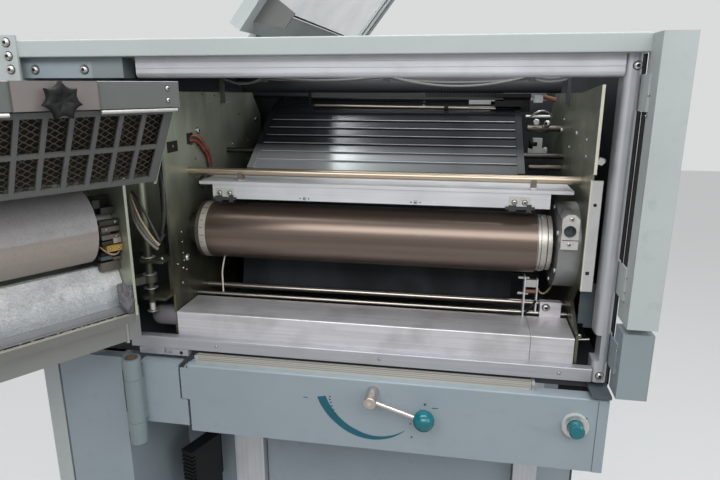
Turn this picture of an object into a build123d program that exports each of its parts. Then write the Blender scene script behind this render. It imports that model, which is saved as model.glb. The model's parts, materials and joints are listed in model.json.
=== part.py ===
from build123d import *
import math
import os

# A web-fed printing machine seen at its fusing station. Millimetres, +Z up, +Y into the machine.
# Widths are measured from the middle of the roller unit, depths from the face of the top rail
# and heights from the floor. Everything is moved at the end, so that the origin lies on the floor
# under the middle of the cabinet.

# Cabinet: an open bay for paper below, the roller bay above its deck
bay_ceiling = 925
roller_bay = 480
plate_gap = 624
left_bay = 232
cabinet_depth = 955
panel = 4
plinth_height = 90
plinth_inset = 20
base_thickness = 6
post_width = 28
post_depth = 40
top_rail_height = 24
post_plate = 4
post_plate_inset = 3
post_plate_width = 35
post_plate_drop = 80
post_plate_rise = 7
column_reveal = 86
column_gap = 4
column_panel = 20
bay_depth = 205
deck = 15
deck_front = 28
rear_housing_front = 520
rear_housing_drop = 95
left_wall_y = 200
edge_round = 2
deck_top = bay_ceiling + deck
cabinet_height = deck_top + roller_bay
base_top = plinth_height + base_thickness
rail_bottom = cabinet_height - top_rail_height
rear_housing_top = cabinet_height - rear_housing_drop

# Profiled aluminium frame around the roller bay
profile = 29
profile_y = 15
profile_round = 7
groove_levels = (12.2, 20.9)
groove_width = 1.4
groove_depth = 1
alu_post_width = 21
alu_post_gap = 19
alu_post_round = 8
notch_depth = 8
notch_bottom = 33
notch_height = 40
stub_gap = 20
stub_length = 50
bracket_plate = 4
sill_height = 20
sill_depth = 13
sill_reach = 72
latch_reach = 57
latch_length = 85
latch_height = 10
latch_front = 12
latch_floor = 2
latch_slot_reach = 14
latch_slot = 14
profile_bottom = rail_bottom - profile

# Side plates of the roller unit
side_plate = 4
plate_front = 32
plate_drop = 19
plate_back = 477
plate_bevel = 46
top_slope = 7
cable_holes = ((63, 82, 20, 12), (128, 83, 12, 11))
plate_inner = plate_gap / 2
plate_outer = plate_inner + side_plate
plate_top = profile_bottom - plate_drop
post_left = plate_outer + alu_post_gap
cabinet_left = plate_outer + left_bay
column_right = -plate_outer - column_reveal

# Painted covers on the right of the front, each a box held by plates on the upright
mount_plate = 3
mount_plate_length = 45
mount_plate_front = 15
mount_rise = 30
mount_drop = 93
cover_width = 38
cover_front = 41
cover_back = 9
cover_reveal = 7
lower_cover_height = 96
lower_cover_width = 40
lower_cover_front = 29
cover_joint = 12
cover_left = post_left + alu_post_width + mount_plate
cabinet_right = cover_left + cover_reveal
lower_cover_top = deck_top + lower_cover_height
upper_cover_bottom = lower_cover_top + cover_joint

# Drum, its bearings and the bars in front of the guide
drum_radius = 47.5
drum_y = 123
drum_above_deck = 178
drum_left_gap = 37
drum_right_gap = 58
shaft_radius = 14
shaft_running = 0.05
shaft_hole = 17
left_ring_width = 17
right_ring_width = 14
ring_step = 3.5
ring_groove = 1.5
ring_collar = 6.5
bearing_radius = 29
bearing_width = 12
flange_radius = 66
flange_width = 31
clamp_inset = 6
clamp_front = 48
clamp_low = 10
clamp_high = 62
clamp_bore = 8.5
clamp_bore_inset = 19
clamp_bore_rise = 37
clamp_corner = 7
tie_radius = 6
tie_y = 110
tie_above_drum = 101
shelf_left_gap = 28
shelf_right_gap = 11
shelf_front = 88
shelf_depth = 97
shelf_thickness = 5
shelf_drop = 13
scraper_left_gap = 50
scraper_right_gap = 43
scraper_front = 90
scraper_wall = 3
scraper_height = 23
saddle_width = 8
saddle_inset = 60
drum_z = deck_top + drum_above_deck
drum_left = plate_inner - drum_left_gap
drum_right = plate_inner - drum_right_gap
tie_z = drum_z + tie_above_drum
shelf_top = tie_z - shelf_drop
scraper_top = shelf_top - shelf_thickness

# Right side plate: front edges over and under a step, a folded flange and a scooped corner
step_front = 26
step_above_drum = 122
fold_y = 38
fold_thickness = 3
fold_reach = 12
fold_below_drum = 47
fold_above_drum = 113
scoop_depth = 55
scoop_rise = 32
scoop_back = 22
plate_peak = 10
peak_length = 130
fold_hole = 2.5
fold_hole_drop = 34
fold_slot_drop = 22

# Tray, guide, bed and rods
tray_height = 60
tray_front = 28
tray_back = 107
tray_seam_gap = 64
tray_gap = 2
seam_gap = 0.6
tray_lug_inset = 11
tray_lug_width = 32
tray_lug_depth = 12
tray_lug_foot = 10
tray_lug_height = 25
tray_lug_bore = 4
tray_lug_bore_inset = 9
guide_inset = 36
guide_right_inset = 23
guide_thickness = 3
guide_rim = 12
guide_pitch = 24.4
guide_rib = 2
guide_start_y = 220
guide_above_drum = 92
guide_slope = 32.5
guide_curl = 220
guide_lift = 6
carrier_share = 0.4
bed_gap = 1.5
bed_short = 55
lower_guide_rim = 14
lower_guide_inset = 2
lower_guide_thickness = 4
lower_guide_tab = 20
lower_guide_start = 13
rod_radius = 5
rod_y = 160
rod_rise = 3
thin_rod_radius = 3
thin_rod_y = 115
cross_tube_radius = 18
cross_tube_y = 400
seat = 0.2
tray_top = deck_top + tray_height
tray_half = plate_inner - tray_gap
tray_seam = plate_inner - tray_seam_gap
guide_left = drum_left - guide_inset
guide_right = drum_right - guide_right_inset
lower_guide_left = guide_left + lower_guide_rim
lower_guide_right = guide_right - lower_guide_inset
guide_start = (guide_start_y, drum_z + guide_above_drum)
guide_end_z = rear_housing_top + guide_lift
bed_end = cabinet_depth - bed_short
rod_z = tray_top + rod_rise

# Bay under the front bar
bay_post_depth = 25
bay_posts = ((-260, 60), (277, 42))
bay_panel_thickness = 6
bay_panel_gap = 2
fin_block_reach = 39
fin_block_front = 98
fin_block_turn = 20
fin_block_width = 27
fin_block_depth = 75
fin_block_drop = 235
fin_block_height = 125
fin_foot_start = 55
fin_pitch = 8
fin_gap = 4
fin_depth = 8

# Two thin cables hang in clips from a bar behind the top profile
cable_bar_y = 260
cable_bar_depth = 10
cable_bar_drop = 6
cable_bar_height = 14
cable_leg = 6
cable_leg_foot = 24
cable_radius = 2.1
cable_clips = (-226, -1, 248)
cable_clip_half = 5
cable_clip_height = 14
cable_strands = ((263, 3, (14, 8, 18, 5)), (267, 8, (8, 4, 7, 6)))

# Hinged inner unit that carries the backing roller. It stands open, and its sizes are given
# closed: "a" runs along the unit from the hinge pin and "b" runs into the machine.
hinge_offset = 31
hinge_y = 20
hinge_pin = 6
open_angle = 122.1
hinge_fit = 0.1
low_hinge_rise = 119
high_hinge_drop = 67
arm_height = 12
arm_width = 13
arm_back = 6
ear = 5
ear_radius = 13
ear_reach = 33
pin_end = 8
cable_plate_left = 79
cable_plate_right = 17
cable_plate_y = 48
cable_plate_wall = 3
bracket_foot = 45
bracket_foot_start = 3
bracket_foot_thickness = 6
hood_start = 45
hood_play = 2
hood_back = 201
hood_front = -84
hood_drop = 5.5
hood_height = 30
hood_wall = 3
unit_wall = 4
case_rise = 22
case_step = 40
grille_inset = 10
grille_low_b = 133
grille_height = 95
grille_frame = 4
window_count = 20
window_pitch = 27.6
window_bar = 5.5
grille_wall = 3
backing_radius = 55
backing_b = -16
backing_above_drum = 40
backing_gap = 45
journal_radius = 12
bar_start = 25
bar_depth = 50
bar_inner = 2
bar_rise = 26
bar_height = 54
bar_slot = 0.5
fleece_height = 74
fleece_depth = 33
fleece_set_in = 13
fleece_edge = 8
fleece_foot = 24
fleece_gap = 1
knob_radius = 20
knob_points = 7
knob_scallop = 12
knob_scallop_reach = 27.6
knob_centre = 143
knob_thickness = 12
knob_stem = 7
knob_stem_radius = 8
knob_gap = 0.5
knob_lift = 0.5
pad_start = 99
pad_end = 184.5
pad_thickness = 3
hinge_x = -plate_outer - hinge_offset
hinge_levels = (deck_top + low_hinge_rise, profile_bottom - high_hinge_drop)
hood_end = plate_gap - hood_play
hood_top = profile_bottom - hood_drop
hood_bottom = hood_top - hood_height
outer_bottom = deck_top + case_rise
grille_top_b = hood_back - grille_inset
grille_low_z = hood_bottom - grille_height
backing_z = drum_z + backing_above_drum
backing_start = hood_start + backing_gap
backing_end = hood_end - backing_gap
bar_bottom = deck_top + bar_rise
bar_top = bar_bottom + bar_height
fleece_top = bar_top + fleece_height

# Front bar on its barrel hinge
bar_face = -5
bar_sheet = 3
bar_flange = 23
bar_drop = 2
bar_round = 2.5
control_height = 118
control_reach = 33
control_short = 14
narrow_height = 108
narrow_drop = 1
narrow_reach = 50
panel_split = 4
notch_wide = 12
notch_drop = 62
tab_gap = 1.5
cap_width = 14
cap_proud = 1
spine_height = 30
spine_depth = 10
spine_window = 20
strip_height = 12
strip_depth = 9
strip_left_inset = 11
strip_right_inset = 93
barrel_reach = 4
barrel_y = -20
barrel_radius = 14
barrel_steps = (137, 98, 23, -13)
barrel_pin = 5
barrel_gap = 0.6
leaf = 4
leaf_width = 8
control_top = bay_ceiling - bar_drop
control_bottom = control_top - control_height
control_left = plate_outer - control_reach
control_right = cover_left - control_short
narrow_top = control_top - narrow_drop
narrow_bottom = narrow_top - narrow_height
narrow_left = plate_outer + narrow_reach
narrow_right = control_left + panel_split
strip_left = control_left - strip_left_inset
strip_right = control_right - strip_right_inset
barrel_x = -narrow_left - barrel_reach
barrel_levels = [control_top - step for step in barrel_steps]

# Lever and push button on the front bar
lever_x = 19
lever_drop = 17
lever_angle = 17.5
lever_length = 83
lever_hub = 9
lever_reach = 38
lever_rod = 3.2
ball_radius = 16
ball_zones = 12
ball_sides = 24
button_inset = 30
button_drop = 43
button_ring = 19
ring_depth = 5
button_radius = 11
button_reach = 22
button_edge = 2
button_fit = 0.5
button_stop = 2
lever_z = control_top - lever_drop
button_x = control_right - button_inset
button_z = control_top - button_drop

# Lid over the roller unit
lid_hinge_x = -197
lid_hinge_rise = 9
lid_angle = 52
lid_gap = 3
lid_thickness = 18
lid_front = 42
lid_short = 25
lid_bar = 45
lid_glass = 4
lid_groove = 8
lid_barrel = 7
lid_edge = 10
lid_rest = 1
lid_barrel_half = 30
lid_knuckle = 15
lid_knuckle_gap = 1
lid_pin = 3
lid_hinge_shares = (0.15, 0.85)
opening_margin = 22
lid_hinge_z = cabinet_height + lid_hinge_rise
lid_length = cover_left - lid_hinge_x - lid_gap
lid_back = cabinet_depth - lid_short

middle_x = (cabinet_right - cabinet_left) / 2
to_origin = Location((-middle_x, -cabinet_depth / 2, 0))


def block(x0, x1, y0, y1, z0, z1):
    return Pos((x0 + x1) / 2, (y0 + y1) / 2, (z0 + z1) / 2) * Box(x1 - x0, y1 - y0, z1 - z0)


def bar_x(x0, x1, y, z, radius):
    return Pos((x0 + x1) / 2, y, z) * Rot(0, 90, 0) * Cylinder(radius, x1 - x0)


def bar_y(x, y0, y1, z, radius):
    return Pos(x, (y0 + y1) / 2, z) * Rot(90, 0, 0) * Cylinder(radius, y1 - y0)


def bar_z(x, y, z0, z1, radius):
    return Pos(x, y, (z0 + z1) / 2) * Cylinder(radius, z1 - z0)


def side_shape(outline, x0, x1):
    # A face drawn in depth and height, thickened across the width.
    face = Plane.YZ.offset(x0) * outline
    return extrude(face, x1 - x0)


def write(name, shape, place=Location()):
    export_step((to_origin * place) * shape, f"parts/{name}.step")


def front_edge_round(shape, radius, y, z):
    edges = [
        e
        for e in shape.edges().filter_by(Axis.X)
        if abs(e.center().Y - y) < 0.1 and abs(e.center().Z - z) < 0.1
    ]
    return fillet(edges, radius)


def cabinet():
    left, right = -cabinet_left, cabinet_right
    plinth = block(
        left + plinth_inset,
        right - plinth_inset,
        plinth_inset,
        cabinet_depth - plinth_inset,
        0,
        plinth_height,
    )
    write("base_plinth", plinth + block(left, right, 0, cabinet_depth, plinth_height, base_top))
    inside_left, inside_right = left + panel, right - panel
    inside_back = cabinet_depth - panel
    write(
        "lower_housing",
        block(inside_left, inside_right, bay_depth, inside_back, base_top, bay_ceiling),
    )
    deck_sheet = block(inside_left, inside_right, deck_front, inside_back, bay_ceiling, deck_top)
    deck_sheet -= block(inside_left, left + post_width, deck_front, post_depth, bay_ceiling, deck_top)
    write("deck_plate", deck_sheet)
    write(
        "rear_housing",
        block(inside_left, inside_right, rear_housing_front, inside_back, deck_top, rear_housing_top),
    )
    write("left_side_panel", block(left, inside_left, post_depth, cabinet_depth, base_top, cabinet_height))
    upper = block(inside_right, right, profile_y + profile, cabinet_depth, bay_ceiling, rail_bottom)
    lower = block(inside_right, right, bay_depth, cabinet_depth, base_top, bay_ceiling)
    write("right_side_panel", upper + lower)
    write("rear_panel", block(inside_left, inside_right, inside_back, cabinet_depth, base_top, rail_bottom))

    # The top is a painted frame, and the lid covers its opening.
    cover = block(inside_left, right, post_depth, cabinet_depth, rail_bottom, cabinet_height)
    hole = block(
        lid_hinge_x + opening_margin,
        cover_left - opening_margin,
        lid_front + opening_margin,
        lid_back - opening_margin,
        rail_bottom,
        cabinet_height,
    )
    write("top_cover", cover - hole)
    post_right = left + post_width
    post = block(left, post_right, 0, post_depth, base_top, cabinet_height)
    post += block(
        left + post_plate_inset,
        left + post_plate_inset + post_plate_width,
        -post_plate,
        0,
        cabinet_height - post_plate_drop,
        cabinet_height + post_plate_rise,
    )
    write("left_corner_post", post)
    rail = block(post_right, cover_left, 0, post_depth, rail_bottom, cabinet_height)
    rail = front_edge_round(rail, edge_round, 0, rail_bottom)
    write("top_front_rail", front_edge_round(rail, edge_round, 0, cabinet_height))
    front = block(post_right + column_gap, column_right, 0, column_panel, base_top, bay_ceiling)
    front += block(column_right - panel, column_right, column_panel, bay_depth, base_top, bay_ceiling)
    write("left_front_panel", front)
    write(
        "left_bay_wall",
        block(inside_left, -plate_outer, left_wall_y, left_wall_y + panel, deck_top, plate_top),
    )


def aluminium_frame():
    # The top profile has two fine grooves along its face and a rounded lower edge.
    y0, y1 = profile_y, profile_y + profile
    rail = block(-post_left, post_left, y0, y1, profile_bottom, rail_bottom)
    rail = front_edge_round(rail, profile_round, y0, profile_bottom)
    for rise in groove_levels:
        z = profile_bottom + rise
        rail -= block(-post_left, post_left, y0, y0 + groove_depth, z, z + groove_width)
    stub_right = -post_left - stub_gap
    stub_left = stub_right - stub_length
    stub = block(stub_left, stub_right, y0, y1, profile_bottom, rail_bottom)
    write("alu_top_rail", rail + stub)
    bracket_left = -cabinet_left + post_width
    write(
        "rail_bracket",
        block(bracket_left, stub_left, y0, y0 + bracket_plate, profile_bottom, rail_bottom),
    )

    # The upright has a rounded front and a notch on its inner side.
    right = post_left + alu_post_width
    post = block(post_left, right, y0, y1, deck_top, rail_bottom)
    corners = [e for e in post.edges().filter_by(Axis.Z) if abs(e.center().Y - y0) < 0.1]
    post = fillet(corners, alu_post_round)
    low = deck_top + notch_bottom
    post -= block(post_left, post_left + notch_depth, y0, y1, low, low + notch_height)
    write("alu_right_post", post)
    sill_left = -plate_outer - sill_reach
    sill = block(
        sill_left, post_left, profile_y, profile_y + sill_depth, deck_top, deck_top + sill_height
    )
    sill = front_edge_round(sill, edge_round, profile_y, deck_top + sill_height)

    # A short slotted bar hangs under the sill, over the narrow panel.
    latch_x = -plate_outer - latch_reach
    latch_z = deck_top - latch_height
    latch_back = deck_front - edge_round
    latch = block(latch_x, latch_x + latch_length, latch_front, latch_back, latch_z, deck_top)
    slot_x = -plate_outer - latch_slot_reach
    latch -= block(
        slot_x, slot_x + latch_slot, latch_front, profile_y + edge_round, latch_z + latch_floor, deck_top
    )
    write("alu_sill", sill + latch)


def painted_covers():
    upper_top = cabinet_height - edge_round
    covers = block(
        cover_left, cover_left + cover_width, -cover_front, cover_back, upper_cover_bottom, upper_top
    )
    covers += block(
        cover_left,
        cover_left + lower_cover_width,
        -lower_cover_front,
        cover_back,
        deck_top,
        lower_cover_top,
    )
    x0 = cover_left - mount_plate
    levels = (
        deck_top + mount_rise,
        upper_cover_bottom + mount_rise,
        upper_top - mount_drop,
    )
    for z in levels:
        covers += block(
            x0, cover_left, -mount_plate_front, profile_y + profile, z, z + mount_plate_length
        )
    write("side_covers", covers)


def top_edge(y):
    # Height of the side plates' top edge, which drops a little towards the back.
    return plate_top - top_slope * (y - plate_front) / (plate_back - plate_bevel - plate_front)


def side_plates():
    back_corner = [
        (plate_back - plate_bevel, plate_top - top_slope),
        (plate_back, plate_top - top_slope - plate_bevel),
        (plate_back, deck_top),
    ]
    outline = make_face(
        Polyline((plate_front, deck_top), (plate_front, plate_top), *back_corner, close=True)
    )
    left = side_shape(outline, -plate_outer, -plate_inner)
    left -= bar_x(-plate_outer, -plate_inner, drum_y, drum_z, shaft_hole)
    for y, drop, wide, high in cable_holes:
        z = plate_top - drop
        left -= block(-plate_outer, -plate_inner, y - wide / 2, y + wide / 2, z - high / 2, z + high / 2)
    write("left_side_plate", left)

    fold_low, fold_high = drum_z - fold_below_drum, drum_z + fold_above_drum
    step_z = drum_z + step_above_drum
    foot_z = tray_top + rod_rise
    peak_y = plate_front + peak_length
    right = make_face(
        Polyline(
            (plate_front, deck_top),
            (plate_front, foot_z),
            (fold_y, foot_z),
            (fold_y + scoop_depth, foot_z + scoop_rise),
            (fold_y + scoop_back, fold_low),
            (fold_y, fold_low),
            (fold_y, step_z),
            (step_front, step_z),
            (step_front, plate_top + plate_peak),
            (peak_y, top_edge(peak_y)),
            *back_corner,
            close=True,
        )
    )
    plate = side_shape(right, plate_inner, plate_outer)
    plate -= bar_x(plate_inner, plate_outer, drum_y, drum_z, shaft_hole)
    x0, x1 = plate_inner, plate_outer + fold_reach
    y0 = fold_y - fold_thickness
    fold = block(x0, x1, y0, fold_y, fold_low, fold_high)
    middle = (x0 + x1) / 2
    fold -= bar_y(middle, y0, fold_y, fold_high - fold_hole_drop, fold_hole)
    slot = drum_z - fold_slot_drop
    fold -= block(middle - fold_hole, middle + fold_hole, y0, fold_y, slot, slot + 2 * fold_hole)
    write("right_side_plate", plate + fold)


def drum():
    roller = bar_x(-drum_left, drum_right, drum_y, drum_z, drum_radius)
    roller += bar_x(-plate_outer, plate_outer, drum_y, drum_z, shaft_radius)
    write("drum_roller", roller)

    # A ring closes each end of the drum, and a groove parts the right one from its collar.
    ring_left, ring_right = -drum_left - left_ring_width, drum_right + right_ring_width
    collar = ring_right + ring_groove
    collar_end = collar + ring_collar
    right_radius = drum_radius - ring_step
    rings = bar_x(ring_left, -drum_left, drum_y, drum_z, drum_radius)
    rings += bar_x(drum_right, ring_right, drum_y, drum_z, right_radius)
    rings += bar_x(ring_right, collar, drum_y, drum_z, right_radius - ring_step)
    rings += bar_x(collar, collar_end, drum_y, drum_z, right_radius - ring_groove)
    rings -= bar_x(ring_left, collar_end, drum_y, drum_z, shaft_radius)
    write("drum_rings", rings)

    # Bearing housings on the side plates hold the shaft with a running fit.
    housings = bar_x(-plate_inner, -plate_inner + bearing_width, drum_y, drum_z, bearing_radius)
    housings += bar_x(plate_inner - flange_width, plate_inner, drum_y, drum_z, flange_radius)
    housings -= bar_x(-plate_inner, plate_inner, drum_y, drum_z, shaft_radius + shaft_running)

    # A block on the right bearing has a bore for the lock of the inner unit.
    clamp = block(
        plate_inner - flange_width,
        plate_inner - clamp_inset,
        clamp_front,
        drum_y - shaft_radius,
        drum_z + clamp_low,
        drum_z + clamp_high,
    )
    clamp = chamfer(clamp.edges().filter_by(Axis.Y), clamp_corner)
    bore_x = plate_inner - clamp_bore_inset
    bore_back = clamp_front + 2 * clamp_bore
    bore = bar_y(bore_x, clamp_front, bore_back, drum_z + clamp_bore_rise, clamp_bore)
    write("drum_bearings", housings + clamp - bore)


def scraper():
    # A flat shelf hangs from the tie bar on two saddles, with the scraper's face under its front.
    write("tie_bar", bar_x(-plate_inner, plate_inner, tie_y, tie_z, tie_radius))
    shelf_left, shelf_right = shelf_left_gap - plate_inner, plate_inner - shelf_right_gap
    beam = block(
        shelf_left, shelf_right, shelf_front, shelf_front + shelf_depth, scraper_top, shelf_top
    )
    beam += block(
        scraper_left_gap - plate_inner,
        plate_inner - scraper_right_gap,
        scraper_front,
        scraper_front + scraper_wall,
        scraper_top - scraper_height,
        scraper_top,
    )
    for x in (shelf_left + saddle_inset, shelf_right - saddle_inset):
        saddle = block(x, x + saddle_width, tie_y - tie_radius, tie_y + tie_radius, shelf_top, tie_z)
        beam += saddle - bar_x(x, x + saddle_width, tie_y, tie_z, tie_radius)
    write("scraper_beam", beam)


def tray():
    pieces = Part()
    for x0, x1 in ((-tray_half, tray_seam), (tray_seam + seam_gap, tray_half)):
        piece = block(x0, x1, tray_front, tray_back, deck_top, tray_top)
        pieces += front_edge_round(piece, edge_round, tray_front, tray_top)
    # A lug behind the tray's right end holds the thin rod.
    lug_right = plate_inner - tray_lug_inset
    lug_left = lug_right - tray_lug_width
    lug_top = tray_top + tray_lug_height
    back = tray_back + tray_lug_depth
    lug = block(lug_left, lug_right, tray_back, back, tray_top - tray_lug_foot, lug_top)
    bore_z = lug_top - tray_lug_bore_inset
    lug -= bar_y(
        lug_left + tray_lug_bore_inset, tray_back, tray_back + tray_lug_bore, bore_z, tray_lug_bore
    )
    lug -= bar_x(lug_left, lug_right, thin_rod_y, rod_z, thin_rod_radius)
    write("drip_tray", pieces + lug)


def paper_guide():
    # The ribbed guide slopes straight up and then curls over into the bed behind it.
    slope = math.radians(guide_slope)
    start_y, start_z = guide_start
    curl_z = guide_end_z - guide_curl * (1 - math.cos(slope))
    straight = (curl_z - start_z) / math.sin(slope)
    curl_y = start_y + straight * math.cos(slope)
    end_y = curl_y + guide_curl * math.sin(slope)
    centre_z = guide_end_z - guide_curl
    length = straight + guide_curl * slope

    def at(travel, offset):
        # A place on the guide, given by the way up its face and the height above it.
        if travel <= straight:
            y = start_y + travel * math.cos(slope) - offset * math.sin(slope)
            return y, start_z + travel * math.sin(slope) + offset * math.cos(slope)
        angle = slope - (travel - straight) / guide_curl
        reach = guide_curl + offset
        return end_y - reach * math.sin(angle), centre_z + reach * math.cos(angle)

    def straight_strip(from_travel, to_travel, bottom, top):
        corners = (at(from_travel, top), at(to_travel, top), at(to_travel, bottom), at(from_travel, bottom))
        return make_face(Polyline(*corners, close=True))

    def curled_strip(bottom, top):
        half_way = (straight + length) / 2
        first = straight + seat / guide_curl
        return make_face(
            [
                ThreePointArc(at(first, top), at(half_way, top), at(length, top)),
                Line(at(length, top), at(length, bottom)),
                ThreePointArc(at(length, bottom), at(half_way, bottom), at(first, bottom)),
                Line(at(first, bottom), at(first, top)),
            ]
        )

    guide = Part()
    rim_depth = 2 * guide_thickness
    left_rim = (-guide_left - guide_rim, -guide_left)
    right_rim = (guide_right, guide_right + guide_rim)
    pieces = [(-guide_left, guide_right, guide_thickness, 0)]
    pieces += [(*rim, rim_depth, guide_rib) for rim in (left_rim, right_rim)]
    for x0, x1, below, above in pieces:
        guide += side_shape(straight_strip(0, straight + seat, -below, above), x0, x1)
        guide += side_shape(curled_strip(-below, above), x0, x1)
    for k in range(1, int(length / guide_pitch) + 1):
        travel = k * guide_pitch
        rib = straight_strip(travel - guide_rib / 2, travel + guide_rib / 2, -guide_thickness / 2, guide_rib)
        guide += side_shape(rib, -guide_left, guide_right)
    write("paper_guide", guide)
    bed_low, bed_y = rear_housing_top, end_y + bed_gap
    write("paper_bed", block(-guide_left, guide_right, bed_y, bed_end, bed_low, guide_end_z))

    # A dark plate leads the web down behind the drum to two rods, and tabs hold it to the sides.
    top_z = start_z - lower_guide_start
    knee_y = start_y - lower_guide_rim
    foot_y = rod_y + rod_radius + lower_guide_rim
    thick = lower_guide_thickness
    path = ((start_y, top_z), (knee_y, drum_z), (foot_y, rod_z))
    front = [(y - thick / 2, z) for y, z in path]
    back = [(y + thick / 2, z) for y, z in reversed(path)]
    plate = side_shape(make_face(Polyline(*front, *back, close=True)), -lower_guide_left, lower_guide_right)
    tab_half = lower_guide_tab / 2
    for x0, x1 in ((-plate_inner, -lower_guide_left), (lower_guide_right, plate_inner)):
        plate += block(x0, x1, knee_y - thick / 2, knee_y + thick / 2, drum_z - tab_half, drum_z + tab_half)
    write("lower_guide_plate", plate)

    # Two rods by the tray, and a third under the guide's rims that carries it.
    carrier_y, carrier_z = at(carrier_share * straight, -rim_depth - rod_radius - seat)
    rods = bar_x(-plate_inner, plate_inner, rod_y, rod_z, rod_radius)
    rods += bar_x(-plate_inner, plate_inner, carrier_y, carrier_z, rod_radius)
    rods += bar_x(-plate_inner, plate_inner, thin_rod_y, rod_z, thin_rod_radius)
    write("guide_rods", rods)
    tube_z = top_edge(cross_tube_y) + cross_tube_radius + seat
    write("cross_tube", bar_x(-plate_outer, plate_outer, cross_tube_y, tube_z, cross_tube_radius))


def lower_bay():
    # Uprights and a panel at the back of the open bay under the front bar.
    posts = Part()
    for x, wide in bay_posts:
        posts += block(
            x - wide / 2, x + wide / 2, bay_depth - bay_post_depth, bay_depth, base_top, bay_ceiling
        )
    write("bay_posts", posts)
    (left_x, left_wide), (right_x, right_wide) = bay_posts
    sheet = block(
        left_x + left_wide / 2 + bay_panel_gap,
        right_x - right_wide / 2 - bay_panel_gap,
        bay_depth - bay_panel_thickness,
        bay_depth,
        base_top,
        bay_ceiling,
    )
    write("bay_panel", sheet)

    # A black block with fins stands at an angle on a foot at the back of the bay.
    place = Location((column_right + fin_block_reach, fin_block_front, bay_ceiling - fin_block_drop))
    place *= Location((0, 0, 0), (0, 0, -fin_block_turn))
    finned = block(0, fin_block_width, 0, fin_block_depth, -fin_block_height, 0)
    for k in range(1, int(fin_block_height / fin_pitch)):
        z = k * fin_pitch - fin_block_height
        finned -= block(0, fin_block_width, 0, fin_depth, z, z + fin_gap)
    turn = math.radians(fin_block_turn)
    foot_x = column_right + fin_block_reach + fin_foot_start * math.sin(turn)
    foot_y = fin_block_front + fin_foot_start * math.cos(turn)
    foot_top = bay_ceiling - fin_block_drop - fin_gap
    foot_low = foot_top - fin_block_height + 2 * fin_gap
    foot = block(foot_x, foot_x + fin_block_width / 2, foot_y, bay_depth, foot_low, foot_top)
    write("finned_block", place * finned + foot)


def hanging_cables():
    bar_top = profile_bottom + profile - cable_bar_drop
    bar_low = bar_top - cable_bar_height
    y0, y1 = cable_bar_y, cable_bar_y + cable_bar_depth
    bar = block(-plate_inner, plate_inner, y0, y1, bar_low, bar_top)
    for x in (-plate_inner, plate_inner - cable_leg):
        bar += block(x, x + cable_leg, y0, y1, plate_top - cable_leg_foot, bar_low)
    for x in cable_clips:
        bar += block(x - cable_clip_half, x + cable_clip_half, y0, y1, bar_low - cable_clip_height, bar_low)

    # Each strand sags between the clips in plain arcs, with a short sleeve where two arcs meet.
    stops = (-plate_inner + cable_leg / 2, *cable_clips, plate_inner - cable_leg / 2)
    strands = Part()
    for y, drop, sags in cable_strands:
        z = bar_low - drop
        for start, end, sag in zip(stops, stops[1:], sags):
            line = ThreePointArc((start, y, z), ((start + end) / 2, y, z - sag), (end, y, z))
            section = Plane(origin=line @ 0, z_dir=line % 0) * Circle(cable_radius)
            strands += sweep(section, path=line)
        for x in cable_clips:
            strands += bar_x(x - cable_radius, x + cable_radius, y, z, cable_radius + seat)
    write("cable_bar", bar - strands)
    write("hanging_cables", strands)


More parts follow.
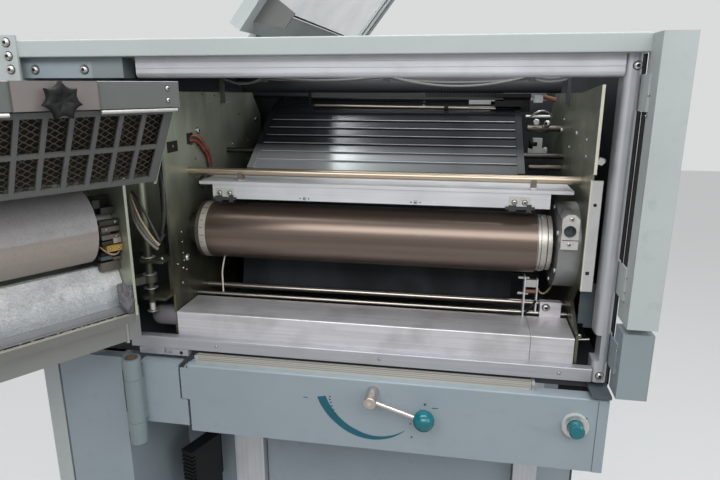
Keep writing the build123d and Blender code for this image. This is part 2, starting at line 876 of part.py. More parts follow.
def inner_unit():
    opened = Location((hinge_x, hinge_y, 0)) * Location((0, 0, 0), (0, 0, -open_angle))
    hood = block(hood_start, hood_end, hood_front, hood_back, hood_bottom, hood_top)
    hood -= block(
        hood_start + hood_wall,
        hood_end - hood_wall,
        hood_front + hood_wall,
        hood_back - hood_wall,
        hood_bottom,
        hood_top - hood_wall,
    )
    for near in (hood_start + pad_start, hood_end - pad_end):
        far = near + pad_end - pad_start
        hood += block(near, far, hood_back, hood_back + pad_thickness, hood_bottom, hood_top)
    write("unit_hood", hood, opened)
    write("unit_case", case_shape(), opened)
    write("unit_grille", grille_shape(), opened)

    # The bottom bar is slotted for the end plates.
    bar_outer = bar_inner - bar_depth
    bar = block(bar_start, hood_end, bar_outer, bar_inner, bar_bottom, bar_top)
    for a in (hood_start, hood_end - unit_wall):
        bar -= block(
            a - bar_slot, a + unit_wall + bar_slot, bar_outer, bar_inner, bar_bottom, bar_top
        )
    write("unit_bottom_bar", bar, opened)
    outer_b = bar_inner - fleece_depth + fleece_set_in + unit_wall + fleece_gap
    inner_b = outer_b + fleece_depth
    fleece = make_face(
        Polyline(
            (outer_b, bar_top),
            (outer_b, fleece_top),
            (outer_b + fleece_edge, fleece_top),
            (inner_b, bar_top + fleece_foot),
            (inner_b, bar_top),
            close=True,
        )
    )
    inset = unit_wall + fleece_gap
    write("unit_fleece", side_shape(fleece, hood_start + inset, hood_end - inset), opened)

    roller = bar_x(backing_start, backing_end, backing_b, backing_z, backing_radius)
    roller += bar_x(hood_start, hood_end, backing_b, backing_z, journal_radius)
    write("backing_roller", roller, opened)
    write("star_knob_left", star_knob(hood_start + knob_centre), opened)
    write("star_knob_right", star_knob(hood_end - knob_centre), opened)

    # Arms reach from one long pin to the end plate, each between two ears of a bracket.
    arms, brackets = Part(), Part()
    eye = arm_width - 1
    foot_y = plate_front + bracket_foot
    for z in hinge_levels:
        low, high = z - arm_height / 2, z + arm_height / 2
        arm = block(0, hood_start, -arm_width, arm_back, low, high) + bar_z(0, 0, low, high, eye)
        arms += arm - bar_z(0, 0, low, high, hinge_pin + hinge_fit)
        for z0 in (z - ear_reach, z + ear_reach - ear):
            plate = block(
                hinge_x - ear_radius, -plate_outer, hinge_y - ear_radius, foot_y, z0, z0 + ear
            )
            front_corners = plate.edges().filter_by(Axis.Z).sort_by(Axis.X)[:2]
            brackets += chamfer(front_corners, ear_radius / 2)
        brackets += block(
            -plate_outer - bracket_foot_thickness,
            -plate_outer,
            plate_front + bracket_foot_start,
            foot_y,
            z - ear_reach,
            z + ear_reach,
        )
    low, high = hinge_levels
    pin_low, pin_high = low - ear_reach - pin_end, high + ear_reach + pin_end
    brackets += bar_z(hinge_x, hinge_y, pin_low, pin_high, hinge_pin)

    # A plate behind the pin joins the two brackets and shields the cables.
    brackets += block(
        -plate_outer - cable_plate_left,
        -plate_outer - cable_plate_right,
        cable_plate_y,
        cable_plate_y + cable_plate_wall,
        low + ear_reach,
        high - ear_reach,
    )
    write("unit_hinge_arms", arms, opened)
    write("hinge_bracket", brackets)


def case_shape():
    # Two end plates carry the backing roller, and an outer wall joins them.
    under_grille = grille_low_z - 2 * grille_wall
    outline = make_face(
        Polyline(
            (hood_front, outer_bottom),
            (bar_inner, outer_bottom),
            (bar_inner, bar_top),
            (case_step, bar_top),
            (case_step, under_grille),
            (grille_low_b - unit_wall, under_grille),
            (grille_top_b - 2 * grille_wall, hood_bottom),
            (hood_front, hood_bottom),
            close=True,
        )
    )
    case = Part()
    for a in (hood_start, hood_end - unit_wall):
        plate = side_shape(outline, a, a + unit_wall)
        case += plate - bar_x(a, a + unit_wall, backing_b, backing_z, journal_radius + shaft_running)
    return case + block(
        hood_start + unit_wall,
        hood_end - unit_wall,
        hood_front,
        hood_front + hood_wall,
        outer_bottom,
        hood_bottom,
    )


def grille_shape():
    # It slopes from the hood down to the end plates, with two rows of windows.
    run, rise = grille_top_b - grille_low_b, hood_bottom - grille_low_z
    slope = math.hypot(run, rise)
    wide = hood_end - hood_start - 2 * unit_wall
    corner = (Align.MIN, Align.MIN, Align.MAX)
    sheet = Box(wide, slope, grille_wall, align=corner)
    rows = 2
    window_high = (slope - grille_frame - (rows + 1) * window_bar) / rows
    window = Box(window_pitch - window_bar, window_high, grille_wall, align=corner)
    first_window = (wide - window_count * window_pitch + window_bar) / 2
    for row in range(rows):
        low = grille_frame / 2 + window_bar + row * (window_high + window_bar)
        for k in range(window_count):
            sheet -= Pos(first_window + k * window_pitch, low, 0) * window
    angle = math.degrees(math.atan2(rise, run))
    place = Location((hood_start + unit_wall, grille_low_b, grille_low_z))
    return place * Location((0, 0, 0), (angle, 0, 0)) * sheet


def star_knob(a):
    # A disc scalloped into points, on a short stem that stands on a pad of the hood.
    stem_b = hood_back + pad_thickness + knob_gap
    face_b = stem_b + knob_stem
    back_b = face_b + knob_thickness
    z = hood_top - knob_radius + knob_lift
    knob = bar_y(a, face_b, back_b, z, knob_radius)
    for k in range(knob_points):
        angle = 2 * math.pi * (k + 0.5) / knob_points
        x, level = knob_scallop_reach * math.sin(angle), knob_scallop_reach * math.cos(angle)
        knob -= bar_y(a + x, face_b, back_b, z + level, knob_scallop)
    return knob + bar_y(a, stem_b, face_b, z, knob_stem_radius)


def folded_panel(left, right, bottom, top):
    # A sheet with its four edges folded back.
    back = bar_face + bar_flange
    face = block(left, right, bar_face, back, bottom, top)
    return face - block(
        left + bar_sheet, right - bar_sheet, bar_face + bar_sheet, back, bottom + bar_sheet, top - bar_sheet
    )


def front_bar():
    narrow = folded_panel(-narrow_left, -narrow_right, narrow_bottom, narrow_top)
    control = folded_panel(-control_left, control_right, control_bottom, control_top)
    control = front_edge_round(control, bar_round, bar_face, control_top)

    # The narrow panel is notched at its upper corner for a tab of the control panel.
    notch_low = control_top - notch_drop
    notch_left = -narrow_right - notch_wide
    tab_back = bar_face + bar_sheet
    narrow -= block(notch_left, -narrow_right, bar_face, tab_back, notch_low, narrow_top)
    narrow -= block(
        notch_left, -narrow_right, bar_face, bar_face + bar_flange, narrow_top - bar_sheet, narrow_top
    )
    control += block(
        notch_left + 2 * tab_gap,
        -control_left,
        bar_face,
        tab_back,
        notch_low + tab_gap,
        control_top - 2 * bar_sheet,
    )

    # The spine runs through both panels, which are cut out for it where they meet.
    spine_low = (control_bottom + control_top - spine_height) / 2
    spine_high = spine_low + spine_height
    spine_y = bar_face + bar_sheet
    spine_back = spine_y + spine_depth
    spine = block(
        -narrow_left + bar_sheet, control_right - bar_sheet, spine_y, spine_back, spine_low, spine_high
    )
    window = block(
        -control_left - spine_window,
        -control_left + spine_window,
        spine_y,
        spine_back,
        spine_low,
        spine_high,
    )
    bores = bar_y(lever_x, bar_face, spine_back, lever_z, lever_hub + shaft_running)
    bores += bar_y(button_x, bar_face, spine_back, button_z, button_radius + button_fit)
    write("narrow_panel", narrow - window)
    write("control_panel", control - window - bores)
    write("bar_spine", spine - bores)
    back = bar_face + bar_flange
    cap_face = bar_face - cap_proud
    cap = block(control_right, control_right + cap_width, cap_face, back, control_bottom, control_top)
    write("panel_end_cap", front_edge_round(cap, bar_round, cap_face, control_top))
    strip_top = control_top + strip_height
    write("grip_strip", block(-strip_left, strip_right, back - strip_depth, back, control_top, strip_top))
    barrel_hinge()
    lever(spine_back)

    ring = bar_y(button_x, bar_face - ring_depth, bar_face, button_z, button_ring)
    bore = bar_y(button_x, bar_face - ring_depth, bar_face, button_z, button_radius + button_fit)
    write("button_ring", ring - bore)
    button = bar_y(button_x, bar_face - button_reach, spine_y + button_stop, button_z, button_radius)
    write("push_button", chamfer(button.edges().group_by(Axis.Y)[0], button_edge))


def barrel_hinge():
    # Top and bottom barrels stay on the cabinet, and the middle one carries the bar.
    low, mid_low, mid_high, high = barrel_levels
    fixed = bar_z(barrel_x, barrel_y, low, high, barrel_pin)
    for z0, z1 in ((low, mid_low - barrel_gap), (mid_high + barrel_gap, high)):
        leaf_top = min(z1, bay_ceiling)
        fixed += bar_z(barrel_x, barrel_y, z0, z1, barrel_radius)
        fixed += block(column_right, barrel_x, 0, leaf, z0, leaf_top)
        fixed += block(barrel_x - leaf, barrel_x, barrel_y + barrel_radius / 2, leaf, z0, leaf_top)
    write("barrel_hinge_fixed", fixed)
    middle = bar_z(barrel_x, barrel_y, mid_low, mid_high, barrel_radius)
    middle += block(-narrow_left, leaf_width - narrow_left, barrel_y, bar_face, mid_low, mid_high)
    middle -= bar_z(barrel_x, barrel_y, mid_low, mid_high, barrel_pin + hinge_fit)
    write("barrel_hinge_moving", middle)


def lever(back):
    # A hub through the panel, a thin rod across its end and a ball knob lofted in narrow zones.
    front = bar_face - lever_reach
    rod_y_level = front + lever_hub
    down = math.radians(lever_angle)
    rod_plane = Plane(origin=(lever_x, rod_y_level, lever_z), z_dir=(math.cos(down), 0, -math.sin(down)))
    rod = rod_plane * Cylinder(lever_rod, lever_length, align=(Align.CENTER, Align.CENTER, Align.MIN))
    write("lever_arm", bar_y(lever_x, front, back, lever_z, lever_hub) + rod)
    sections = []
    for k in range(1, ball_zones):
        turn = math.pi * (k / ball_zones - 0.5)
        level = lever_length + ball_radius * math.sin(turn)
        sections.append(Pos(0, 0, level) * RegularPolygon(ball_radius * math.cos(turn), ball_sides))
    ball = loft(sections, ruled=True)
    write("lever_ball", rod_plane * ball - rod)


def lid():
    # The lid is drawn closed and turned up about its left edge.
    opened = Location((lid_hinge_x, 0, lid_hinge_z)) * Location((0, 0, 0), (0, -lid_angle, 0))
    low = lid_rest - lid_hinge_rise
    high = low + lid_thickness
    outer = block(lid_edge, lid_length, lid_front, lid_back, low, high)

    def inside(margin, z0, z1):
        return block(
            lid_edge + margin, lid_length - margin, lid_front + margin, lid_back - margin, z0, z1
        )

    glass_low = low + (lid_thickness - lid_glass) / 2
    glass = inside(lid_bar - lid_groove, glass_low, glass_low + lid_glass)
    frame = outer - inside(lid_bar, low, high) - glass
    fixed = Part()
    for share in lid_hinge_shares:
        y = lid_front + share * (lid_back - lid_front)
        y0, y1 = y - lid_barrel_half, y + lid_barrel_half
        barrel = bar_y(0, y0, y1, 0, lid_barrel)
        barrel += block(0, lid_edge, y0, y1, -lid_barrel / 2, lid_barrel / 2)
        frame += barrel - bar_y(0, y0, y1, 0, lid_pin + hinge_fit)
        reach = lid_knuckle_gap + lid_knuckle
        hinge = bar_y(lid_hinge_x, y0 - reach, y1 + reach, lid_hinge_z, lid_pin)
        for start in (y0 - reach, y1 + lid_knuckle_gap):
            hinge += bar_y(lid_hinge_x, start, start + lid_knuckle, lid_hinge_z, lid_barrel)
            hinge += block(
                lid_hinge_x - lid_barrel,
                lid_hinge_x + lid_barrel,
                start,
                start + lid_knuckle,
                cabinet_height,
                lid_hinge_z,
            )
        fixed += hinge
    write("lid_frame", frame, opened)
    write("lid_window", glass, opened)
    write("lid_hinges", fixed)


os.makedirs("parts", exist_ok=True)
cabinet()
aluminium_frame()
painted_covers()
side_plates()
drum()
scraper()
tray()
paper_guide()
lower_bay()
hanging_cables()
inner_unit()
front_bar()
lid()
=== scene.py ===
import bpy
import bmesh
import json
import random
from math import atan2, cos, pi, radians, sin
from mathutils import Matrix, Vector, noise as cloud


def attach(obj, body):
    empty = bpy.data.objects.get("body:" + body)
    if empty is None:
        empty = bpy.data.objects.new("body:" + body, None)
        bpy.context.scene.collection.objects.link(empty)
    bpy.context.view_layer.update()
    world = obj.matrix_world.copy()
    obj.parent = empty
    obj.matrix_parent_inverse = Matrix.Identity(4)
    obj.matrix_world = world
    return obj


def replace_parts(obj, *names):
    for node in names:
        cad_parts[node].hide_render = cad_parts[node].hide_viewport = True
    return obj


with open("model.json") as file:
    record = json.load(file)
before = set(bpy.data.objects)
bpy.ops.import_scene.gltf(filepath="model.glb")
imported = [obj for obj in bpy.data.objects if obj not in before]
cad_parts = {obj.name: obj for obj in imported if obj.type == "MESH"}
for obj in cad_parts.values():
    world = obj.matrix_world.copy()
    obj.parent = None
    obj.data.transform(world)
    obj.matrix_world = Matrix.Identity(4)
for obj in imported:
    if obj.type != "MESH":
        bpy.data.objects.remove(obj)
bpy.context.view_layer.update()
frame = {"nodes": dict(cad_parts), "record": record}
nodes = frame["nodes"]

# Places are in millimetres, from the middle of the roller unit, the top rail's face and the floor.
shift = Vector((0.091, -0.4775, 0.0))  # to the shared frame, in metres
hingeX, hingeY = -347, 20  # the inner unit's hinge
openAngle = radians(122.1)
drumY, drumZ = 123, 1118
leftPlate, rightPlate = -312, 312  # faces of the side plates in the roller bay
toFront, toLeft, toRight = (0, -1, 0), (-1, 0, 0), (1, 0, 0)


def at(x, y, z):
    return Vector((x, y, z)) / 1000 + shift


def onUnit(a, b, z):
    # A place on the inner unit: a along it from its hinge, b into the machine when closed.
    c, s = cos(-openAngle), sin(-openAngle)
    return at(hingeX + a * c - b * s, hingeY + a * s + b * c, z)


def byDrum(x, turn=0.0, far=0.0):
    # A place on the drum's axis, or round it.
    return x, drumY + far * cos(turn), drumZ + far * sin(turn)


print("stage: frame loaded")

finishes = {}


def placed(name, data):
    made = bpy.data.objects.new(name, data)
    bpy.context.collection.objects.link(made)
    return made


class Shade:
    # A material, kept in finishes by its name. Levels and noise are laid in metres.
    def __init__(self, name, colour, rough=0.5, metal=0.0):
        self.material = bpy.data.materials.new(name)
        self.material.use_nodes = True
        self.tree = self.material.node_tree
        self.shader = self.tree.nodes["Principled BSDF"]
        self.shader.inputs["Base Color"].default_value = (*colour, 1)
        self.shader.inputs["Roughness"].default_value = rough
        self.shader.inputs["Metallic"].default_value = metal
        self.place = self.tree.nodes.new("ShaderNodeTexCoord").outputs["Object"]
        self.colour = None
        self.height = None
        finishes[name] = self

    def node(self, kind, **values):
        made = self.tree.nodes.new(kind)
        for key, value in values.items():
            setattr(made, key, value)
        return made

    def join(self, source, target):
        self.tree.links.new(source, target)

    def mapped(self, stretch, turn):
        # Turned about the upright axis first, then stretched.
        turned = self.node("ShaderNodeMapping")
        turned.inputs["Rotation"].default_value = (0, 0, turn)
        self.join(self.place, turned.inputs["Vector"])
        mapping = self.node("ShaderNodeMapping")
        mapping.inputs["Scale"].default_value = stretch
        self.join(turned.outputs["Vector"], mapping.inputs["Vector"])
        return mapping.outputs["Vector"]

    def level(self, axis):
        parts = self.node("ShaderNodeSeparateXYZ")
        self.join(self.place, parts.inputs["Vector"])
        return parts.outputs[axis]

    def noise(self, scale, detail=3, stretch=(1, 1, 1), turn=0.0):
        made = self.node("ShaderNodeTexNoise")
        made.inputs["Scale"].default_value = scale
        made.inputs["Detail"].default_value = detail
        self.join(self.mapped(stretch, turn), made.inputs["Vector"])
        return made.outputs["Fac"]

    def ramp(self, value, low, high, bottom=0.0, top=1.0):
        made = self.node("ShaderNodeMapRange")
        for key, number in (("From Min", low), ("From Max", high), ("To Min", bottom), ("To Max", top)):
            made.inputs[key].default_value = number
        self.join(value, made.inputs["Value"])
        return made.outputs["Result"]

    def math(self, operation, first, second):
        made = self.node("ShaderNodeMath", operation=operation)
        for k, value in enumerate((first, second)):
            if isinstance(value, (int, float)):
                made.inputs[k].default_value = value
            else:
                self.join(value, made.inputs[k])
        return made.outputs[0]

    def tint(self, share, colour):
        # Lays another colour over what is there, by a share from 0 to 1.
        made = self.node("ShaderNodeMix", data_type="RGBA")
        if self.colour is None:
            made.inputs["A"].default_value = self.shader.inputs["Base Color"].default_value
        else:
            self.join(self.colour, made.inputs["A"])
        made.inputs["B"].default_value = (*colour, 1)
        self.join(share, made.inputs["Factor"])
        self.colour = made.outputs["Result"]
        self.join(self.colour, self.shader.inputs["Base Color"])
        return self

    def stain(self, scale, detail, low, high, share, colour, stretch=(1, 1, 1), turn=0.0):
        # Blotches or streaks of another colour.
        return self.tint(self.ramp(self.noise(scale, detail, stretch, turn), low, high, 0, share), colour)

    def past(self, axis, low, high, colour, share=1.0):
        # Another colour past a level, which comes in between low and high.
        return self.tint(self.ramp(self.level(axis), low, high, 0, share), colour)

    def rough(self, value, low, high):
        self.join(self.ramp(value, 0.3, 0.7, low, high), self.shader.inputs["Roughness"])
        return self

    def bump(self, value, distance, strength):
        made = self.node("ShaderNodeBump")
        made.inputs["Strength"].default_value = strength
        made.inputs["Distance"].default_value = distance
        self.join(value, made.inputs["Height"])
        self.join(made.outputs["Normal"], self.shader.inputs["Normal"])
        return self


def dimmed(colour, share):
    return [share * c for c in colour]


def paint(name, colour, rough=0.45, grain=900, depth=0.0003, dirt=0.25):
    shade = Shade(name, colour, rough)
    blotch = shade.noise(7, 5)
    shade.tint(shade.ramp(blotch, 0.45, 0.75, 0, dirt), dimmed(colour, 0.62))
    shade.stain(42, 4, 0.58, 0.75, dirt, dimmed(colour, 0.45))
    shade.bump(shade.noise(grain, 2), depth, 0.35)
    return shade.rough(blotch, rough - 0.08, rough + 0.12)


def brushed(name, colour, rough=0.3, dirt=0.2, soil=(0.2, 0.18, 0.16), metal=0.75, lines=0.35,
            stretch=(1, 1, 1), turn=0.0, relief=0.12):
    shade = Shade(name, colour, rough, metal)
    streaks = shade.noise(260, 3, stretch, turn)
    shade.tint(shade.ramp(streaks, 0.35, 0.65, 0, lines), dimmed(colour, 0.78))
    shade.stain(14, 5, 0.5, 0.8, dirt, soil)
    shade.stain(5, 3, 0.4, 0.7, 0.35, dimmed(colour, 0.8))
    if relief:
        shade.bump(streaks, 0.00006, relief)
    return shade.rough(shade.noise(30, 4), rough - 0.05, rough + 0.12)


def profile(name, colour, stretch):
    # Drawn aluminium with lines along the bar.
    return brushed(name, colour, 0.38, 0.4, (0.28, 0.275, 0.27), 0.5, 0.6, stretch)


def plated(name, colour):
    # Sheet with an olive plating, lined upright.
    return brushed(name, colour, 0.34, 0.4, (0.24, 0.24, 0.17), 0.6, 0.4, (1, 1, 0.06))


def satin(name, colour, rough, metal, stretch=(0.01, 1, 1)):
    # Even metal with faint lines and nothing else.
    return Shade(name, colour, rough, metal).stain(220, 2, 0.4, 0.65, 0.4, dimmed(colour, 0.72), stretch)


def plain(name, colour, rough=0.5, metal=0.0, grain=400, depth=0.0002):
    shade = Shade(name, colour, rough, metal)
    shade.stain(60, 4, 0.45, 0.75, 0.3, dimmed(colour, 0.6))
    return shade.bump(shade.noise(grain, 3), depth, 0.3)


# Paints. The lower of the two side covers is grey, the upper one light.
paint("lightPaint", (0.425, 0.452, 0.447), 0.5, dirt=0.09)
paint("greyPaint", (0.28, 0.325, 0.358), 0.5, dirt=0.12)
paint("darkPaint", (0.035, 0.038, 0.042), 0.6)
paint("unitGrey", (0.13, 0.13, 0.125), 0.4, 700, 0.00012, 0.25)
paint("pad", (0.19, 0.162, 0.154), 0.45, 700, 0.00012, 0.2)
paint("hoodFace", (0.115, 0.122, 0.119), 0.42, 700, 0.00012, 0.2)
paint("duct", (0.36, 0.35, 0.355), 0.45, 700, 0.0001, 0.2)
paint("hingePaint", (0.20, 0.245, 0.255), 0.5)
cover = paint("coverPaint", (0.425, 0.452, 0.447), 0.5)
cover.past("Z", 1.0425, 1.0415, (0.235, 0.275, 0.295))
# Painted shade: the covers' right edge and side are darker.
cover.past("X", 0.4873, 0.4879, (0.22, 0.235, 0.23), 0.5)
# One leg of the cable bar stands before the plate and is plated like it.
paint("cableBar", (0.035, 0.038, 0.042), 0.6).past("X", -0.12, -0.13, (0.10, 0.105, 0.08))
# The right panel is painted dark inside, as painted shade.
paint("sidePaint", (0.245, 0.285, 0.315), 0.5, dirt=0.12).past("X", 0.4568, 0.4564, (0.02, 0.024, 0.028))

# Brushed metals
alongX, alongZ = (0.02, 1, 1), (1, 1, 0.02)
profile("aluminium", (0.66, 0.665, 0.70), alongX)
profile("sillMetal", (0.41, 0.415, 0.445), alongX)
profile("postMetal", (0.52, 0.525, 0.555), alongZ)
profile("railMetal", (0.60, 0.605, 0.64), alongX).past("X", -0.2520, -0.2530, (0.24, 0.27, 0.285))
brushed("trayFace", (0.64, 0.615, 0.64), 0.36, 0.75, (0.27, 0.255, 0.245), 0.55, 0.7, alongX)
brushed("castMetal", (0.29, 0.29, 0.288), 0.38, 0.3, (0.12, 0.12, 0.12), 0.7)
brushed("ringMetal", (0.64, 0.60, 0.55), 0.36, 0.5, (0.2, 0.18, 0.15), 0.6)
brushed("bolt", (0.56, 0.55, 0.53), 0.28, 0.25, relief=0)
brushed("brass", (0.5, 0.42, 0.2), 0.35)
brushed("hubBrown", (0.46, 0.39, 0.35), 0.28)
brushed("stripFace", (0.30, 0.305, 0.32), 0.35, 0.5, (0.16, 0.16, 0.17), 0.5, 0.6, alongX, openAngle)
# Low down, the inner unit's bar is painted lighter against the shadow of its ledge, and its case is greyer.
bar = brushed("barFace", (0.215, 0.212, 0.203), 0.42, 0.2, (0.2, 0.19, 0.18), 0.55, 0.3, alongX, openAngle)
bar.past("Z", 1.0068, 1.0064, (0.27, 0.268, 0.258))
plated("caseMetal", (0.50, 0.53, 0.43)).past("Z", 1.0205, 1.0198, (0.36, 0.355, 0.34))
# Clamps that hold the scraper's shelf to its tie bar are as brown as the bar.
scraper = brushed("scraper", (0.72, 0.71, 0.735), 0.38, 0.3, (0.3, 0.29, 0.28), 0.5, 0.45, alongX)
scraper.past("Z", 1.2065, 1.2075, (0.17, 0.145, 0.12))
# Painted shade: inside, the side plates get darker towards the tray, and the drum's left bearing, which is in
# the dark, is painted dark.
olive = plated("olivePlate", (0.62, 0.66, 0.53))
olive.past("Z", 1.29, 1.11, (0.045, 0.045, 0.03), 0.96)
# Painted shade: the right-hand side plate is darker than the left.
olive.past("X", 0.3, 0.31, (0.10, 0.10, 0.075), 0.66)
# Yellowish upright streaks: partly brushing marks, partly a painted gold reflection.
olive.stain(26, 4, 0.5, 0.7, 0.3, (0.33, 0.30, 0.17), (1, 1, 0.3))
# Painted shade: cast metal on the left, such as the drum's left bearing, is darker.
finishes["castMetal"].past("X", -0.12, -0.13, (0.05, 0.05, 0.04))

# Even metals. The guide has a painted shine where it faces the front, stronger to the left, and the rods have
# painted shade at the back.
satin("drumBronze", (0.165, 0.124, 0.103), 0.28, 0.78)
satin("chrome", (0.44, 0.36, 0.28), 0.3, 0.9)
satin("gripMetal", (0.55, 0.52, 0.47), 0.4, 0.4, alongX)
satin("ribLight", (0.42, 0.43, 0.45), 0.35, 0.5)
satin("hubDark", (0.16, 0.14, 0.12), 0.35, 0.85, (1, 1, 1))
satin("clampFace", (0.60, 0.575, 0.54), 0.4, 0.5, (1, 1, 1))
satin("leverMetal", (0.56, 0.51, 0.48), 0.24, 0.9)
# Painted shade: the rods get dark towards the back.
satin("rods", (0.46, 0.415, 0.37), 0.28, 0.9).past("Y", -0.30, -0.29, (0.07, 0.065, 0.06))
guide = satin("gunmetal", (0.032, 0.034, 0.039), 0.22, 0.6)
# Painted highlight: the guide's lower part is lighter, more so towards the left.
lowFront = guide.ramp(guide.level("Z"), 1.250, 1.230)
fromLeft = guide.ramp(guide.level("X"), 0.36, -0.10, 0.15, 0.8)
guide.tint(guide.math("MULTIPLY", lowFront, fromLeft), (0.54, 0.56, 0.56))

# Plastics, cables, cloth and print: name, colour, roughness and metal share
for row in (
    ("lightPlastic", (0.50, 0.52, 0.51), 0.45), ("tealPlastic", (0.0, 0.125, 0.155), 0.18),
    ("tealPrint", (0.0, 0.085, 0.12), 0.5), ("cableSheath", (0.2, 0.2, 0.195), 0.5),
    ("cableRed", (0.30, 0.035, 0.03), 0.45), ("cableCream", (0.36, 0.28, 0.20), 0.5),
    ("cableOrange", (0.45, 0.20, 0.06), 0.5), ("cableGrey", (0.22, 0.20, 0.185), 0.5),
    ("cableDark", (0.035, 0.033, 0.032), 0.5), ("rust", (0.22, 0.10, 0.06), 0.6, 0.3),
    ("screenDark", (0.004, 0.003, 0.0025), 0.8), ("screenEdge", (0.12, 0.10, 0.068), 0.4, 0.5),
    ("fleeceHair", (0.93, 0.93, 0.92), 0.9), ("fleeceGrey", (0.30, 0.31, 0.33), 0.9),
    ("fleeceYellow", (0.72, 0.60, 0.30), 0.9), ("flake", (0.66, 0.63, 0.55), 0.8),
    ("rag", (0.15, 0.14, 0.15), 0.9), ("creamEdge", (0.66, 0.62, 0.52), 0.5, 0.3),
    ("flangeFace", (0.49, 0.475, 0.47), 0.5), ("amber", (0.42, 0.26, 0.05), 0.4),
    ("blueGrey", (0.06, 0.08, 0.09), 0.55), ("gripDark", (0.075, 0.07, 0.06), 0.6),
):
    plain(*row)
for dull in (plain("blackPlastic", (0.008, 0.008, 0.008), 0.6), plain("slate", (0.008, 0.010, 0.013), 0.65)):
    dull.shader.inputs["Specular IOR Level"].default_value = 0.25
finishes["slate"].stain(14, 4, 0.45, 0.62, 0.6, (0.03, 0.035, 0.042), (1, 1, 0.25))
finishes["slate"].stain(9, 3, 0.56, 0.66, 0.8, (0.004, 0.005, 0.006))

# The backing roller's grey is painted lighter, against the shade of the grille above it; its lower beige band
# is a stain.
coat = plain("rollerCoat", (0.50, 0.475, 0.485), 0.6, 0, 900, 0.00008)
coat.past("Z", 1.1595, 1.1575, (0.40, 0.33, 0.275), 0.8)
coat.stain(60, 3, 0.5, 0.75, 0.3, (0.30, 0.26, 0.24), alongX, openAngle)
coat.stain(330, 3, 0.45, 0.68, 0.3, (0.25, 0.24, 0.25))
coat.stain(11, 3, 0.5, 0.7, 0.35, (0.44, 0.37, 0.35))
# The fleece's white and grey clouds are partly its mottling and partly painted sheen.
fleece = plain("fleece", (0.72, 0.72, 0.71), 0.95, 0, 300, 0.0006)
fleece.stain(16, 6, 0.42, 0.62, 0.75, (0.46, 0.47, 0.49))
fleece.stain(420, 2, 0.5, 0.62, 0.4, (0.40, 0.41, 0.43), (0.25, 1, 0.5), openAngle + 0.5)
fleece.past("Z", 1.068, 1.042, (0.33, 0.35, 0.38), 0.8)

glass = Shade("lidWindow", (0.8, 0.84, 0.84), 0.15)
glass.join(glass.ramp(glass.noise(12, 5), 0.3, 0.8, 0.14, 0.32), glass.shader.inputs["Alpha"])

# Nodes whose finish differs from the one that their slot names
special = {
    "lid_window": "lidWindow", "alu_top_rail": "railMetal", "right_side_panel": "sidePaint",
    "alu_sill": "sillMetal", "alu_right_post": "postMetal", "bay_posts": "postMetal",
    "drum_rings": "ringMetal", "grip_strip": "gripMetal", "cable_bar": "cableBar", "guide_rods": "rods",
    "lever_arm": "leverMetal", "barrel_hinge_fixed": "hingePaint", "barrel_hinge_moving": "hingePaint",
    "side_covers": "coverPaint", "scraper_beam": "scraper", "drip_tray": "trayFace",
    "unit_bottom_bar": "barFace", "unit_case": "caseMetal",
}
bevel = {"width": 0.0008, "knobWidth": 0.0025, "angle": 40}
unbevelled = ("lid_window", "unit_fleece", "unit_grille")


def finishOf(slot):
    # The slot light_paint has the finish lightPaint.
    first, *rest = slot.split("_")
    return first + "".join(word.capitalize() for word in rest)


slots = {part["node"]: part["material_slot"] for part in frame["record"]["subparts"]}
for name, node in nodes.items():
    finish = special.get(name) or finishOf(slots[name])
    node.data.materials.clear()
    node.data.materials.append(finishes[finish].material)
    if name not in unbevelled:
        edge = node.modifiers.new("edge", "BEVEL")
        edge.width = bevel["knobWidth"] if name.startswith("star_knob") else bevel["width"]
        edge.segments = 2
        edge.limit_method = "ANGLE"
        edge.angle_limit = radians(bevel["angle"])
print("stage: finishes laid on", len(nodes), "nodes")


